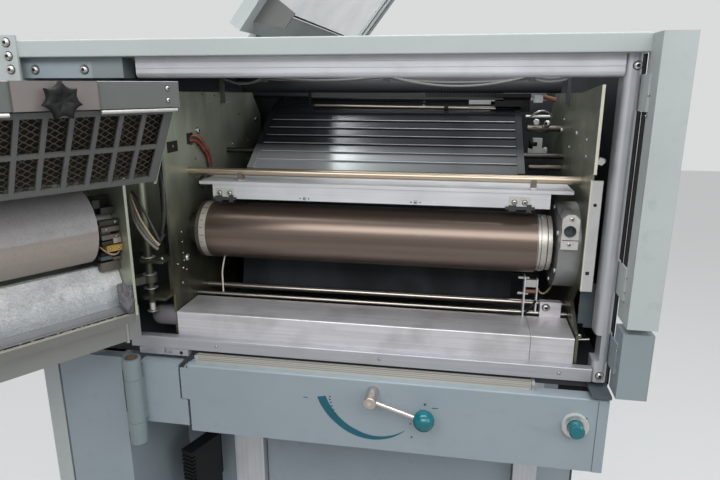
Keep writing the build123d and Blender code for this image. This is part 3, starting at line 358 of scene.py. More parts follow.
class Gather:
    # Collects small shapes, given in millimetres, into one mesh.
    def __init__(self, spec, place=at):
        self.spec, self.place = spec, place
        self.mesh = bmesh.new()
        self.shades = []
        self.current = 0

    def use(self, name):
        if name not in self.shades:
            self.shades.append(name)
        self.current = self.shades.index(name)
        return self

    def corner(self, point):
        return self.mesh.verts.new(self.place(*point))

    def face(self, corners):
        self.mesh.faces.new(corners).material_index = self.current

    def flat(self, points):
        self.face([self.corner(p) for p in points])

    def box(self, x0, x1, y0, y1, z0, z1):
        v = [self.corner((x, y, z)) for x in (x0, x1) for y in (y0, y1) for z in (z0, z1)]
        for quad in ((0, 1, 3, 2), (4, 6, 7, 5), (0, 4, 5, 1), (2, 3, 7, 6), (0, 2, 6, 4), (1, 5, 7, 3)):
            self.face([v[k] for k in quad])

    def ring(self, middle, side, other, radius, sides):
        # Corners of a circle that two directions span.
        turns = [2 * pi * k / sides for k in range(sides)]
        return [
            self.corner(middle + side * radius * cos(t) + other * radius * sin(t)) for t in turns
        ]

    def skin(self, rings):
        # Faces between rings of corners that follow each other. A ring may be a single corner.
        for a, b in zip(rings, rings[1:]):
            count = max(len(a), len(b))
            for k in range(count):
                m = (k + 1) % count
                if len(a) == 1:
                    self.face((a[0], b[m], b[k]))
                elif len(b) == 1:
                    self.face((a[k], a[m], b[0]))
                else:
                    self.face((a[k], a[m], b[m], b[k]))

    def turned(self, start, end, outline, sides=16):
        # A turned shape along the line from start to end. The outline holds (distance, radius).
        start = Vector(start)
        axis = (Vector(end) - start).normalized()
        side = axis.orthogonal().normalized()
        other = axis.cross(side)
        rings = []
        for distance, radius in outline:
            middle = start + axis * distance
            if radius == 0:
                rings.append([self.corner(middle)])
            else:
                rings.append(self.ring(middle, side, other, radius, sides))
        self.skin(rings)

    def rod(self, start, end, radius, sides=16):
        length = (Vector(end) - Vector(start)).length
        soft = min(0.15 * radius, length / 4)
        outline = [(0, 0), (0, radius - soft), (soft, radius)]
        outline += [(length - soft, radius), (length, radius - soft), (length, 0)]
        self.turned(start, end, outline, sides)

    def tube(self, points, radius, sides=8):
        # A round tube through the points, with rings set square to the path.
        points = [Vector(p) for p in points]
        rings = []
        side = None
        for k, p in enumerate(points):
            along = (points[min(k + 1, len(points) - 1)] - points[max(k - 1, 0)]).normalized()
            if side is None:
                side = along.orthogonal().normalized()
            side = (side - along * side.dot(along)).normalized()
            rings.append(self.ring(p, side, along.cross(side), radius, sides))
        self.skin(rings)
        self.face(rings[0][::-1])
        self.face(rings[-1])

    def button(self, place, normal, radius):
        # A round-headed screw. After the head come its socket, painted dark as the shade in its recess, and
        # the seam round it, which is dark too.
        shown = self.current
        for sides, outline in (
            (18, [(0, 1), (0.25, 1), (0.55, 0.8), (0.7, 0.5), (0.7, 0)]),
            (6, [(0.7, 0.48), (0.74, 0.46), (0.74, 0)]),
            (18, [(0, 1.18), (0.06, 1.18), (0.06, 0)]),
        ):
            scaled = [(far * radius, wide * radius) for far, wide in outline]
            self.turned(place, Vector(place) + Vector(normal), scaled, sides)
            self.use("screenDark")
        self.current = shown

    def hexagon(self, place, normal, radius, height):
        outline = [(0, radius), (height * 0.85, radius), (height, radius * 0.86), (height, 0)]
        self.turned(place, Vector(place) + Vector(normal), outline, 6)

    def listed(self):
        # Makes the boxes, rods and tubes that the piece's dictionary lists under their finishes.
        for kind, make in (("boxes", self.box), ("rods", self.rod), ("tubes", self.tube)):
            for name, rows in self.spec.get(kind, {}).items():
                self.use(name)
                for sizes in rows:
                    make(*sizes)
        return self

    def done(self, angle=35):
        # Edges sharper than the angle stay sharp.
        spec = self.spec
        bmesh.ops.recalc_face_normals(self.mesh, faces=self.mesh.faces)
        data = bpy.data.meshes.new(spec["name"])
        self.mesh.to_mesh(data)
        self.mesh.free()
        for name in self.shades:
            data.materials.append(finishes[name].material)
        data.shade_smooth()
        data.set_sharp_from_angle(angle=radians(angle))
        made = placed(spec["name"], data)
        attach(made, spec["body"])
        return made


def spread(start, end, count):
    return [start + (end - start) * k / (count - 1) for k in range(count)]


def arcLine(start, middle, end, count=10):
    # Points on a smooth curve that starts, passes through the middle and ends.
    start, middle, end = Vector(start), Vector(middle), Vector(end)
    bend = 2 * middle - (start + end) / 2
    return [start * (1 - t) ** 2 + bend * 2 * t * (1 - t) + end * t**2 for t in spread(0.0, 1.0, count)]


frameBolts = {
    "name": "frameBolts", "body": "cabinet", "slot": "chrome",
    "post": [(-525, -4, 1417), (-524, -4, 1398), (-523, -4, 1379)],
    "bracket": [(-498, 15, 1379), (-417, 15, 1379)],
    "upright": [(349, 15, 1381), (346, 15, 951)],
    "sill": [(x, 15, 950) for x in (-240, 25, 290)],
    "covers": [(357.5, -15, z) for z in (985, 1005, 1090, 1110, 1320, 1345)],
    "radii": {"post": 6, "bracket": 6, "upright": 5, "sill": 2.2, "covers": 1.4},
}
bolts = Gather(frameBolts).use("bolt")
for group, radius in frameBolts["radii"].items():
    for place in frameBolts[group]:
        bolts.button(place, toFront, radius)
bolts.done()

# Edges and holes of the plates, dark sheets as painted shade in the gaps beside and under the covers, and the
# brace under them
plateEdges = {
    "name": "plateEdges", "body": "cabinet", "slot": "olive_plate",
    "boxes": {
        "flangeFace": [(313.6, 327.8, 34.7, 35, 1071.2, 1230.8)],
        "creamEdge": [(311.9, 313.6, 34.6, 38, 1071, 1231), (312, 316, 25.7, 26, 1240.5, 1357.5)],
        # Painted shade: dark sheets in a slot of the flange and in the gaps beside and under the covers.
        "screenDark": [
            (316.5, 321.5, 34.5, 34.7, 1096, 1101), (358.5, 358.95, -9, 9, 1123.5, 1324.5),
            (296, 359, 34, 44, 900, 934.5),
        ],
        "blueGrey": [
            (332, 359, -14, 44, 929, 934), (318, 341, 60, 62, 1012, 1076), (326, 341, 60, 62, 1006, 1012),
        ],
    },
    "rods": {
        # Painted shade: dark discs stand for holes.
        "screenDark": [
            ((320, 34.7, 1197), (320, 34.5, 1197), 2.5, 14), ((-300, 12, 935), (-300, 11.8, 935), 3, 14),
        ],
        "gripDark": [((-370, -19.5, 936), (-370, -19.5, 936.5), 10.5, 24)],
        "rust": [((-370, -19.5, 936.5), (-370, -19.5, 936.8), 6, 16)],
    },
    "tubes": {
        "creamEdge": [([(314, 40, 994), (333, 40, 996)], 0.9)],
    },
    "coverGaps": [(941, 969.5), (1015.5, 1077.5), (1123.5, 1324.5), (1370.5, 1395)],
}
edges = Gather(plateEdges).listed().use("screenDark")
# Painted shade: dark sheets fill the gaps between the post and the covers.
for z0, z1 in plateEdges["coverGaps"]:
    edges.box(356.2, 358.4, 10, 12, z0, z1)
edges.use("bolt")
edges.button((318, 38, 1001), toFront, 3)
edges.hexagon((322, 44, 1258), toFront, 4, 6)
edges.done()

# Screws and holes on the side plates, by depth, height and radius
plateScrews = {
    "name": "plateScrews", "body": "cabinet", "slot": "chrome",
    "left": [
        (302, 1325, 3), (155, 1282, 5), (307, 1244, 3.4), (394, 1243, 2.6), (389, 1206, 2.6), (445, 1285, 6),
        (81, 1077, 6), (66, 1063, 2), (60, 1039, 2), (48, 1075, 1.6), (215, 1328, 1.6),
    ],
    "leftHoles": [(183, 1341, 2), (233, 1339, 2), (350, 1300, 2.4), (140, 1235, 2)],
    "right": [
        (317, 1278, 5), (172, 1284, 3.4), (228, 1257, 2.4), (92, 1281, 2), (86, 1258, 2), (303, 1298, 2),
    ],
}
screws = Gather(plateScrews).use("bolt")
for y, z, radius in plateScrews["left"]:
    screws.button((leftPlate, y, z), toRight, radius)
for y, z, radius in plateScrews["right"]:
    screws.button((rightPlate, y, z), toLeft, radius)
screws.button((324, 35, 1258), toFront, 4)
screws.hexagon((320, 35, 1258), toFront, 6, 9)
# Painted shade: dark discs on the left plate stand for its holes.
screws.use("darkPaint")
for y, z, radius in plateScrews["leftHoles"]:
    screws.rod((leftPlate - 0.2, y, z), (leftPlate + 0.4, y, z), radius, 12)
screws.done()

# Screws and clamps of the scraper's shelf
scraperScrews = {
    "name": "scraperScrews", "body": "cabinet", "slot": "chrome",
    "front": 90,
    "outer": (-250, -233, 217, 232),
    "middle": (-108, 69),
    "clamps": [(-262, -222), (204, 247)],
    "boxes": {"clampFace": [(209, 240, 89.2, 90, 1181, 1196), (-257, -226, 89.5, 90, 1181.5, 1195)]},
}
marks = Gather(scraperScrews).listed().use("bolt")
shelfFront = scraperScrews["front"]
for x in scraperScrews["outer"]:
    marks.button((x, shelfFront - 0.7, 1187), toFront, 3.6)
for x in scraperScrews["middle"]:
    marks.button((x, shelfFront, 1182), toFront, 2.4)
marks.use("darkPaint")
for x in scraperScrews["middle"]:
    for side in (-7, 7):
        marks.rod((x + side, shelfFront - 0.1, 1182), (x + side, shelfFront - 0.4, 1182), 1.2, 8)
for x0, x1 in scraperScrews["clamps"]:
    marks.box(x0, x1, shelfFront - 2.4, shelfFront, 1176, 1180.5)
    marks.box(x0 + 5, x0 + 16, shelfFront - 2.6, shelfFront, 1173.5, 1182.5)
    marks.box(x1 - 12, x1 - 5, shelfFront - 2.6, shelfFront, 1172.5, 1184)
marks.use("blackPlastic")
marks.tube(arcLine((-283, 104, 1212), (-292, 104, 1200), (-284, 104, 1190)), 2.2)
marks.done()

drumTrim = {
    "name": "drumTrim", "body": "drum", "slot": "aluminium",
    "ticks": 24,
    "tickStart": (-284.5, 47.6),
    "rings": [(255, 44.1), (259.5, 44.1), (269, 42.7)],
    "bolts": 5,
}
trim = Gather(drumTrim).use("darkPaint")
for k in range(drumTrim["ticks"]):
    turn = 2 * pi * k / drumTrim["ticks"]
    tickX, far = drumTrim["tickStart"]
    start = Vector(byDrum(tickX, turn, far))
    side = Vector((0, -sin(turn), cos(turn))) * 0.5
    along = Vector((8 if k % 4 == 0 else 5, 0, 0))
    trim.flat([start - side, start + side, start + side + along, start - side + along])
for x, r in drumTrim["rings"]:
    trim.turned(byDrum(x), byDrum(x + 1), [(0, r - 0.4), (0, r), (0.9, r), (0.9, r - 0.4)], 64)
# Painted shadow: dark rings at the drum's left end stand for the shade beside its ticked ring.
trim.turned(byDrum(-292.2), byDrum(-291), [(0, 47.2), (0, 47.7), (1, 47.7), (1, 47.2)], 64)
trim.use("hubDark")
trim.turned(byDrum(-292.3), byDrum(-291), [(0, 46), (0, 47.8), (6.4, 47.8), (6.4, 47.2)], 64)
trim.use("bolt")
for k in range(drumTrim["bolts"]):
    turn = 2 * pi * (k + 0.4) / drumTrim["bolts"]
    trim.rod(byDrum(262, turn, 43.5), byDrum(262, turn, 45.0), 2.4, 10)
trim.done()

# The drum's right bearing: flange screws, and a clamp plate with a round hole
bearingParts = {
    "name": "bearingParts", "body": "cabinet", "slot": "cast_metal",
    "screws": 6,
    "flange": (281, 58),
    "front": [((294, 48, 1173), 3.6), ((293, 48, 1136), 3.0), ((278, 107, 1016), 5.4)],
    "clamp": (293, 48, 1155),
    "plate": [
        (281.6, 1128.5), (305.4, 1128.5), (305.4, 1172.5), (298.5, 1179.4), (288.5, 1179.4), (281.6, 1172.5),
    ],
    "hole": 9.6,
}
bearing = Gather(bearingParts).use("bolt")
flangeX, far = bearingParts["flange"]
for k in range(bearingParts["screws"]):
    bearing.button(byDrum(flangeX, 2 * pi * (k + 0.5) / bearingParts["screws"], far), toLeft, 4)
for place, radius in bearingParts["front"]:
    bearing.button(place, toFront, radius)
cx, cy, cz = bearingParts["clamp"]
bearing.turned((cx, cy, cz), (cx, cy - 1, cz), [(0, 11.6), (0.7, 11.6), (0.7, 8.7), (0, 8.7)], 28)
bearing.use("clampFace")
plateFront = cy - 0.4
outer = [bearing.corner((x, plateFront, z)) for x, z in bearingParts["plate"]]
back = [bearing.corner((x, cy, z)) for x, z in bearingParts["plate"]]
bearing.skin([outer, back])
rim = bearing.ring(Vector((cx, plateFront, cz)), Vector(toRight), Vector((0, 0, 1)), bearingParts["hole"], 24)
edgeLines = [bearing.mesh.edges.new((rim[k - 1], rim[k])) for k in range(len(rim))]
edgeLines += [bearing.mesh.edges.get((outer[k - 1], outer[k])) for k in range(len(outer))]
filled = bmesh.ops.triangle_fill(bearing.mesh, edges=edgeLines, use_beauty=True)
for made in filled["geom"]:
    if isinstance(made, bmesh.types.BMFace):
        made.material_index = bearing.current
bearing.use("screenDark")
bearing.box(283, 305.4, 47.4, plateFront, 1141.6, 1142.6)
# Painted shade: a dark disc at the bottom of the bore.
bearing.rod((cx, 64.6, cz), (cx, 64, cz), 8.3, 20)
seam = [(0, 12.6), (0.05, 12.6), (0.05, 11.6), (0, 11.6)]
bearing.turned((cx, cy - 0.05, cz), (cx, cy - 1, cz), seam, 28)
bearing.use("blueGrey")
bearing.turned((cx, 60, cz), (cx, 58, cz), [(0, 8.3), (0, 6), (1, 5.4), (1, 2.4), (0, 2.2), (0, 0)], 20)
bearing.done()

# Small parts by the paper guide, and light lines on its slope, which are painted highlights along its ribs
guideFittings = {
    "name": "guideFittings", "body": "cabinet", "slot": "light_plastic",
    "boxes": {
        "blackPlastic": [
            (98, 106, 374, 382, 1311, 1321), (186, 246, 372, 392, 1317, 1327),
            (196, 262, 392, 440, 1334, 1341), (212, 262, 400, 430, 1306, 1340),
            (-178, -174, 396, 402, 1316, 1342),
        ],
        "lightPlastic": [
            (264, 280, 322, 340, 1234, 1262), (256, 290, 324, 338, 1234, 1243),
            (262, 276, 330, 350, 1326, 1338),
        ],
        "duct": [
            (-178, 54, 420, 446, 1331.5, 1343), (56, 212, 420, 446, 1331.5, 1343),
            (145, 193, 372, 376, 1321, 1329),
        ],
    },
    "rods": {
        "chrome": [((-161, 378, 1317), (196, 378, 1313), 2, 10)],
        "hubDark": [
            ((252, 330, 1280), (312, 330, 1280), 6, 14), ((278, 330, 1280), (290, 330, 1280), 8, 14),
            ((256, 300, 1212), (312, 300, 1212), 5, 14),
        ],
        "blackPlastic": [((258, 330, 1252), (272, 330, 1252), 9, 16)],
        "lightPlastic": [((284, 331, 1240), (290, 331, 1240), 6, 12)],
        "rust": [((278, 335, 1336), (300, 335, 1330), 4.5, 12)],
        "bolt": [((250, 350, 1300), (296, 350, 1300), 3, 10)],
    },
    "tubes": {
        "bolt": [(arcLine((256, 330, 1300), (275, 318, 1312), (294, 330, 1302)), 1.6)],
    },
    "ductSlots": (60, 206, 50),
    "slope": 32.5,
    "slopeStart": (220, 1210),
    "ribs": 6,
    "pitch": 24.4,
}
fittings = Gather(guideFittings).listed().use("bolt")
fittings.button((285, 312, 1290), (-0.6, -0.8, 0), 6)
fittings.hexagon((266, 318, 1292), toFront, 6, 5)
# Painted shade: dark strips stand for the duct's slots.
fittings.use("darkPaint")
for x in spread(*guideFittings["ductSlots"]):
    fittings.box(x, x + 1.2, 419, 420, 1333, 1341.5)
# Painted highlight: light rods along the tops of the guide's ribs.
fittings.use("ribLight")
slope = radians(guideFittings["slope"])
footY, footZ = guideFittings["slopeStart"]
for k in range(1, guideFittings["ribs"] + 1):
    along, above = k * guideFittings["pitch"], 2
    y = footY + along * cos(slope) - above * sin(slope)
    z = footZ + along * sin(slope) + above * cos(slope)
    fittings.rod((-238, y, z), (230, y, z), 0.75, 8)
fittings.done()

# Brackets, hoses and screws by the thin rods over the tray
rodBrackets = {
    "name": "rodBrackets", "body": "cabinet", "slot": "aluminium",
    "boxes": {
        "aluminium": [(242, 244, 104, 122, 998, 1066), (262, 264, 112, 124, 1003, 1060)],
        "bolt": [(244, 262, 115, 122, 1046, 1058)],
    },
    "rods": {
        "bolt": [
            ((233, 113, 1062), (250, 113, 1062), 2.2, 10), ((233, 113, 1036), (250, 113, 1036), 2.2, 10),
        ],
        "rust": [((244, 112, 1040), (262, 112, 1040), 3, 12)],
    },
    "hose": [(-252, 1093), (-256, 1082), (-261, 1068), (-265, 1052), (-267, 1040), (-267, 1003)],
    "tubes": {
        "brass": [(arcLine((262, 128, 1050), (272, 120, 1035), (286, 128, 1044)), 1.5)],
        "blackPlastic": [
            (arcLine((246, 108, 1004), (254, 104, 1016), (262, 112, 1024)), 2),
            (arcLine((204, 110, 1001), (226, 106, 1001), (243, 108, 1003)), 1.6),
        ],
    },
}
brackets = Gather(rodBrackets).listed().use("creamEdge")
brackets.tube([(x, 118, z) for x, z in rodBrackets["hose"]], 1.4)
brackets.done()

# Cables flat along the left plate: finish, place in the bundle and radius of each
sensorCables = {
    "name": "sensorCables", "body": "cabinet", "slot": "black_plastic",
    "strands": [
        ("cableDark", (0, 0), 2.6), ("cableRed", (-4, -3), 2.2), ("cableRed", (3, 4), 2.2),
        ("cableOrange", (4, -3), 1.9), ("cableDark", (-5, 3), 2.3), ("cableOrange", (-1, 5), 1.8),
        ("cableCream", (1, -5), 1.6),
    ],
    "boxes": {
        "blackPlastic": [(-312, -303.6, 178, 196, 1184, 1198)],
        "screenDark": [(-312.3, -311.4, 44, 78, 1255, 1272), (-312.3, -311.4, 112, 134, 1262, 1280)],
    },
    "rods": {
        "brass": [((-311.4, 62, 1264), (-310.6, 62, 1264), 2, 10)],
    },
}
strands = Gather(sensorCables).listed()
for name, (aside, up), radius in sensorCables["strands"]:
    joint = (-306.4, 166 + aside, 1250 + up)
    first = arcLine((-314, 124 + aside * 0.6, 1268 + up * 0.4), (-306.6, 142 + aside, 1268 + up), joint)
    second = arcLine(joint, (-306.4, 184 + aside, 1232 + up), (-307, 186 + aside, 1196 + up))
    strands.use(name).tube(first + second[1:], radius, 8)
strands.done()

# Loose cables, washers and a roll of cloth by the inner unit's hinge
hingeCables = {
    "name": "hingeCables", "body": "cabinet", "slot": "black_plastic",
    "strands": [
        ("cableGrey", (-376, 34, 1188), (-346, 4, 1150), (-317, 4, 1118), 2.9),
        ("cableGrey", (-376, 36, 1182), (-349, 3, 1146), (-319, 3, 1112), 2.4),
        ("cableCream", (-374, 32, 1191), (-341, 1, 1156), (-316, 1, 1119), 1.6),
        ("cableDark", (-374, 38, 1194), (-340, 8, 1172), (-318, 6, 1126), 2.1),
        ("cableDark", (-372, 42, 1098), (-345, 34, 1104), (-326, 40, 1130), 4.0),
        ("cableDark", (-326, 42, 1236), (-317, 30, 1180), (-328, 34, 1130), 3.4),
        ("cableDark", (-322, 44, 1228), (-316, 40, 1176), (-330, 42, 1126), 2.6),
    ],
    "boxes": {
        "blackPlastic": [(-326, -317, 36, 47, 1128, 1142)],
    },
    "rods": {
        "blackPlastic": [((-366, 62, 983), (-352, 62, 983), 8, 16)],
    },
    # Height, thickness, radius and sides of what sits on the hinge's axis
    "onHinge": [
        (1093, 1.2, 11, 20), (1065.2, 1.2, 11, 20), (1042, 1.2, 11, 20), (1025, 1.2, 11, 20),
        (1003, 1, 9, 20), (1004, 14, 5, 16),
    ],
    "plateScrews": [(69, 1124), (69, 1107), (69, 1088), (70, 1075), (77, 1057)],
    "roll": 17,
}
loose = Gather(hingeCables).listed()
for name, start, middle, end, radius in hingeCables["strands"]:
    loose.use(name).tube(arcLine(start, middle, end, 14), radius, 10)
loose.use("bolt")
for z, thick, radius, sides in hingeCables["onHinge"]:
    loose.rod((hingeX, hingeY, z), (hingeX, hingeY, z + thick), radius, sides)
loose.button((-318, 10, 1095), toFront, 2.4)
for y, z in hingeCables["plateScrews"]:
    loose.button((leftPlate, y, z), toRight, 1.5)
loose.use("rag")
roll = hingeCables["roll"]
rounding = [(roll - roll * cos(t), roll * sin(t)) for t in spread(0, pi / 2, 8)]
loose.turned((-362, 46, 987), (-312, 46, 987), rounding + [(50, roll), (50, 0)], 28)
loose.done()

# The hood's face, pads, rivets and rods
hoodTrim = {
    "name": "hoodTrim", "body": "inner_unit", "slot": "unit_grey",
    "boxes": {
        "pad": [(144.4, 229.1, 204, 204.3, 1331.8, 1361.2), (437.9, 522.6, 204, 204.3, 1331.8, 1361.2)],
        "hoodFace": [
            (45.4, 141, 201, 201.25, 1331.8, 1361.2), (231, 435, 201, 201.25, 1331.8, 1361.2),
            (525, 618, 201, 201.25, 1331.8, 1361.2),
        ],
        # Painted highlight: a light strip along the hood's top edge.
        "trayFace": [(45.4, 618.6, 201.1, 201.4, 1360.7, 1361.4)],
    },
    "rivets": [(60, 1353.5), (60, 1340), (607, 1353.5), (607, 1340)],
    "rodEnds": [(48, 141), (232, 318), (348, 434), (526, 619)],
    "knobs": (188, 479),
}
hood = Gather(hoodTrim, onUnit).listed().use("bolt")
for a, z in hoodTrim["rivets"]:
    hood.button((a, 201.2, z), (0, 1, 0), 2.7)
for a0, a1 in hoodTrim["rodEnds"]:
    hood.rod((a0, 199, 1328.5), (a1, 199, 1328.5), 2.6, 12)
hood.use("unitGrey")
for a in hoodTrim["knobs"]:
    hood.rod((a, 203, 1342), (a, 205.4, 1342), 12, 20)
hood.done()

slopeAngle = atan2(95, 58)


def onGrille(a, up, inward):
    # A place by the grille: up its slope, and inward from its inner face.
    c, s = cos(slopeAngle), sin(slopeAngle)
    return onUnit(a, 133 + up * c - inward * s, 1236.5 + up * s + inward * c)


meshScreen = {
    "name": "meshScreen", "body": "inner_unit", "slot": "dark_paint",
    "boxes": {
        # Painted shade: a black sheet behind the mesh.
        "screenDark": [(50, 617, 1, 107, 13, 14)],
    },
    "pitch": 12.4,
    "rise": 4.3,
    "along": (51, 616),
    "up": (2, 107),
    "radius": 0.72,
}
screen = Gather(meshScreen, onGrille).listed().use("screenEdge")
halfPitch, rise = meshScreen["pitch"] / 2, meshScreen["rise"]
screenStart, screenEnd = meshScreen["along"]
screenLow, screenHigh = meshScreen["up"]
for row in range(int((screenHigh - screenLow) / rise)):
    # Strands zigzag against their neighbours and touch at the corners of each diamond.
    up = screenLow + (row + 0.5) * rise
    points = []
    for k in range(int((screenEnd - screenStart) / halfPitch)):
        swing = rise / 2 * (1 if (k + row) % 2 else -1)
        points.append((screenStart + k * halfPitch, up + 0.96 * swing, 4 + 0.5 * swing))
    screen.tube(points, meshScreen["radius"], 4)
screen.done(60)

fleeceHair = {
    "name": "fleeceHair", "body": "inner_unit", "slot": "fleece",
    "count": 20000,
    "length": (2, 5),
    "width": 0.12,
}
hair = Gather(fleeceHair, onUnit)


def clouded(a, z):
    # Share of grey hair: white clouds drift over a grey ground, partly the cloth's mottling and partly
    # painted sheen.
    broad = cloud.noise(Vector((a * 0.022, z * 0.05, 3.1)))
    value = broad + 0.5 * cloud.noise(Vector((a * 0.06, z * 0.11, 8.4)))
    return min(max(0.30 - 1.1 * value, 0.02), 0.85)


random.seed(11)
for k in range(fleeceHair["count"]):
    # Hair grows on the slope, the face below it, the top and the two ends, in these shares.
    a = random.uniform(51, 616)
    pick = random.random()
    if pick < 0.62:
        t = random.random()
        b, z = -5 + 25 * t, 1094 - 50 * t
        out = Vector((0, 0.894, 0.447))
    elif pick < 0.70:
        b, z = 20, random.uniform(1033, 1044)
        out = Vector((0, 1, 0))
    elif pick < 0.96:
        b, z = random.uniform(-13, -5), 1094
        out = Vector((0, 0.2, 0.98))
    else:
        a = random.choice((50.2, 616.8))
        b, z = random.uniform(-10, 12), random.uniform(1024, 1070)
        out = Vector((-1 if a < 100 else 1, 0.3, 0))
    # The yellow corner is near the hinge, the low band is grey.
    if a < 78 and z > 1074 and random.random() < 0.5:
        hair.use("fleeceYellow")
    else:
        grey = max(clouded(a, z), min((1068 - z) / 26, 0.85))
        hair.use("fleeceGrey" if random.random() < grey else "fleeceHair")
    root = Vector((a, b, z))
    lean = Vector((random.uniform(-1, 1), random.uniform(-0.3, 0.3), random.uniform(-0.9, 0.5)))
    reach = random.uniform(*fleeceHair["length"])
    aim = (lean + out * random.uniform(0.02, 0.25)).normalized()
    tip = root + aim * reach
    bent = root + (aim + out * 0.2).normalized() * reach * 0.55
    across = aim.cross(out).normalized() * fleeceHair["width"]
    p = [hair.corner(v) for v in (root - across, root + across, bent + across * 0.8, bent - across * 0.8)]
    hair.face(p)
    hair.face((p[3], p[2], hair.corner(tip)))
hair.done(180)

# The ledge before the fleece, with a groove painted dark as its shade, a bright strip and flakes of dirt
bottomBarTrim = {
    "name": "bottomBarTrim", "body": "inner_unit", "slot": "aluminium",
    "flakes": 260,
    "ledge": 33,
    "boxes": {
        "barFace": [(46.5, 616, 2, 33, 1007, 1020)],
        "creamEdge": [(46.5, 616, 26.5, 33, 1020, 1020.4)],
        # Painted shade: a dark sheet in the groove.
        "screenDark": [(50, 616, 20.8, 26.5, 1020, 1020.4)],
        "stripFace": [(50.5, 615, 20, 21.4, 1022.5, 1034)],
    },
    "rods": {
        "bolt": [((25, -20, 1003), (23.4, -20, 1003), 4, 14)],
    },
}
dirt = Gather(bottomBarTrim, onUnit).listed().use("flake")
ledge = bottomBarTrim["ledge"]
random.seed(5)
for k in range(bottomBarTrim["flakes"]):
    a = random.uniform(50, 612)
    b = ledge - 1 - abs(random.gauss(0, 4))
    size = random.uniform(0.6, 2.6)
    count = random.randint(5, 7)
    ring = []
    for m in range(count):
        turn = 2 * pi * m / count
        far = size * random.uniform(0.7, 1.6)
        side = min(b + size * random.uniform(0.3, 0.8) * sin(turn), ledge)
        ring.append((a + far * cos(turn), side, 1020.4 + random.uniform(0.1, 0.5)))
    dirt.flat(ring)
dirt.done()

# The cloth is crumpled: a ball whose skin is pushed in and out.
crumpledCloth = {
    "name": "crumpledCloth", "body": "inner_unit", "slot": "black_plastic",
    "middle": (57, 37, 1044),
    "halfSize": (15, 14, 27),
    "dents": 16,
    "mesh": (26, 38),
}
rag = Gather(crumpledCloth, onUnit).use("rag")
random.seed(8)
rows, columns = crumpledCloth["mesh"]
dents = []
for _ in range(crumpledCloth["dents"]):
    aim = Vector([random.uniform(-1, 1) for _ in range(3)]).normalized()
    dents.append((aim, random.uniform(0.12, 0.4)))
skin = []
for i in range(rows + 1):
    tilt = pi * i / rows
    line = []
    for j in range(columns):
        turn = 2 * pi * j / columns
        way = Vector((sin(tilt) * cos(turn), sin(tilt) * sin(turn), cos(tilt)))
        far = 1.0 + 0.42 * cloud.noise(way * 2.1 + Vector((3, 1, 7))) + 0.2 * cloud.noise(way * 5.2)
        for aim, deep in dents:
            far -= deep * max(0.0, way.dot(aim) - 0.72) / 0.28
        place = Vector(crumpledCloth["middle"]) + way * Vector(crumpledCloth["halfSize"]) * far
        # It stays clear of the end plate, the ledge and what faces it when the unit is closed.
        line.append(rag.corner((max(place.x, 49.5), min(place.y, 50), max(place.z, 1020.8))))
    skin.append(line)
rag.skin(skin)
rag.done(180)

# What fills the gap at the roller's near end, set against the end plate
rollerEndWorks = {
    "name": "rollerEndWorks", "body": "inner_unit", "slot": "cast_metal",
    "boxes": {
        "castMetal": [
            (50, 79, 12, 20, 1161, 1167.5), (62, 78, 6, 18, 1131, 1136), (50, 70, -6, 8, 1175, 1184),
        ],
        "hubDark": [
            (50, 77, 10, 19, 1150, 1157), (50, 78, 8, 19, 1138.5, 1145.5), (50, 62, 6, 14, 1105, 1109.5),
            (50, 79, -8, 8, 1088, 1102),
        ],
        "darkPaint": [(63, 78, 2, 16, 1146, 1155), (70, 80, -6, 6, 1184, 1196)],
        "hubBrown": [(50, 62, 4, 21, 1132, 1140)],
        "amber": [(50, 73, 8, 22, 1120.5, 1129.5)],
        "blackPlastic": [(50, 79, -2, 14, 1114, 1119)],
        "blueGrey": [(62, 79, 2, 12, 1106.5, 1112.5)],
        "screenDark": [(50, 80, -12, -8, 1086, 1143), (50, 80, -12, -8, 1173, 1200)],
    },
    "tubes": {
        "cableCream": [(arcLine((79, 12, 1128), (66, 22, 1116), (50, 12, 1118)), 1.3)],
    },
    "screws": [(56, 20, 1164), (70, 19, 1153.5), (56, 19, 1142), (55, 22, 1125), (68, 22, 1125)],
}
works = Gather(rollerEndWorks, onUnit).listed().use("bolt")
for place in rollerEndWorks["screws"]:
    works.button(place, (0, 1, 0), 2)
works.done()

# A bright bevelled disc at each end of the backing roller
rollerTrim = {"name": "rollerTrim", "body": "backing_roller", "slot": "roller_coat", "ends": (90, 577)}
wrap = Gather(rollerTrim, onUnit).use("aluminium")
near, end = [(a, -16, 1158) for a in rollerTrim["ends"]]
for start, other in ((near, end), (end, near)):
    wrap.turned(start, other, [(-1.5, 0), (-1.5, 46), (0, 50)], 40)
wrap.done()

# The printed scale round the lever: angle, inner and outer radius at each station
leverScale = {
    "name": "leverScale", "body": "front_bar", "slot": "teal_plastic",
    "centre": (19, 906),
    "stations": [
        (191.5, 76, 90), (205, 74, 87.5), (225, 72.8, 84.8), (250, 74, 84.4), (270, 77, 84),
        (290, 78.8, 82.6), (308, 79.6, 80.4),
    ],
    "steps": 8,
    "face": -5.12,
    "marks": [
        (-88, 885, 7, 1.4), (113, 886, 9, 1.4), (79, 833, 3, 3), (77, 856, 2.4, 2.4), (98, 891, 3.4, 3.4),
    ],
    "darkMarks": [(-49, 890), (-49, 885), (-47.5, 880), (-46, 874), (-43.5, 868), (-40, 862), (92, 881)],
}
printed = Gather(leverScale).use("tealPrint")
cx, cz = leverScale["centre"]
face, stations = leverScale["face"], leverScale["stations"]
curve = []
for first, second in zip(stations, stations[1:]):
    for k in range(leverScale["steps"]):
        curve.append([a + (b - a) * (k / leverScale["steps"]) for a, b in zip(first, second)])
curve.append(stations[-1])
for (t0, i0, o0), (t1, i1, o1) in zip(curve, curve[1:]):
    quad = [(r, radians(t)) for r, t in ((i0, t0), (o0, t0), (o1, t1), (i1, t1))]
    printed.flat([(cx + r * cos(t), face, cz + r * sin(t)) for r, t in quad])
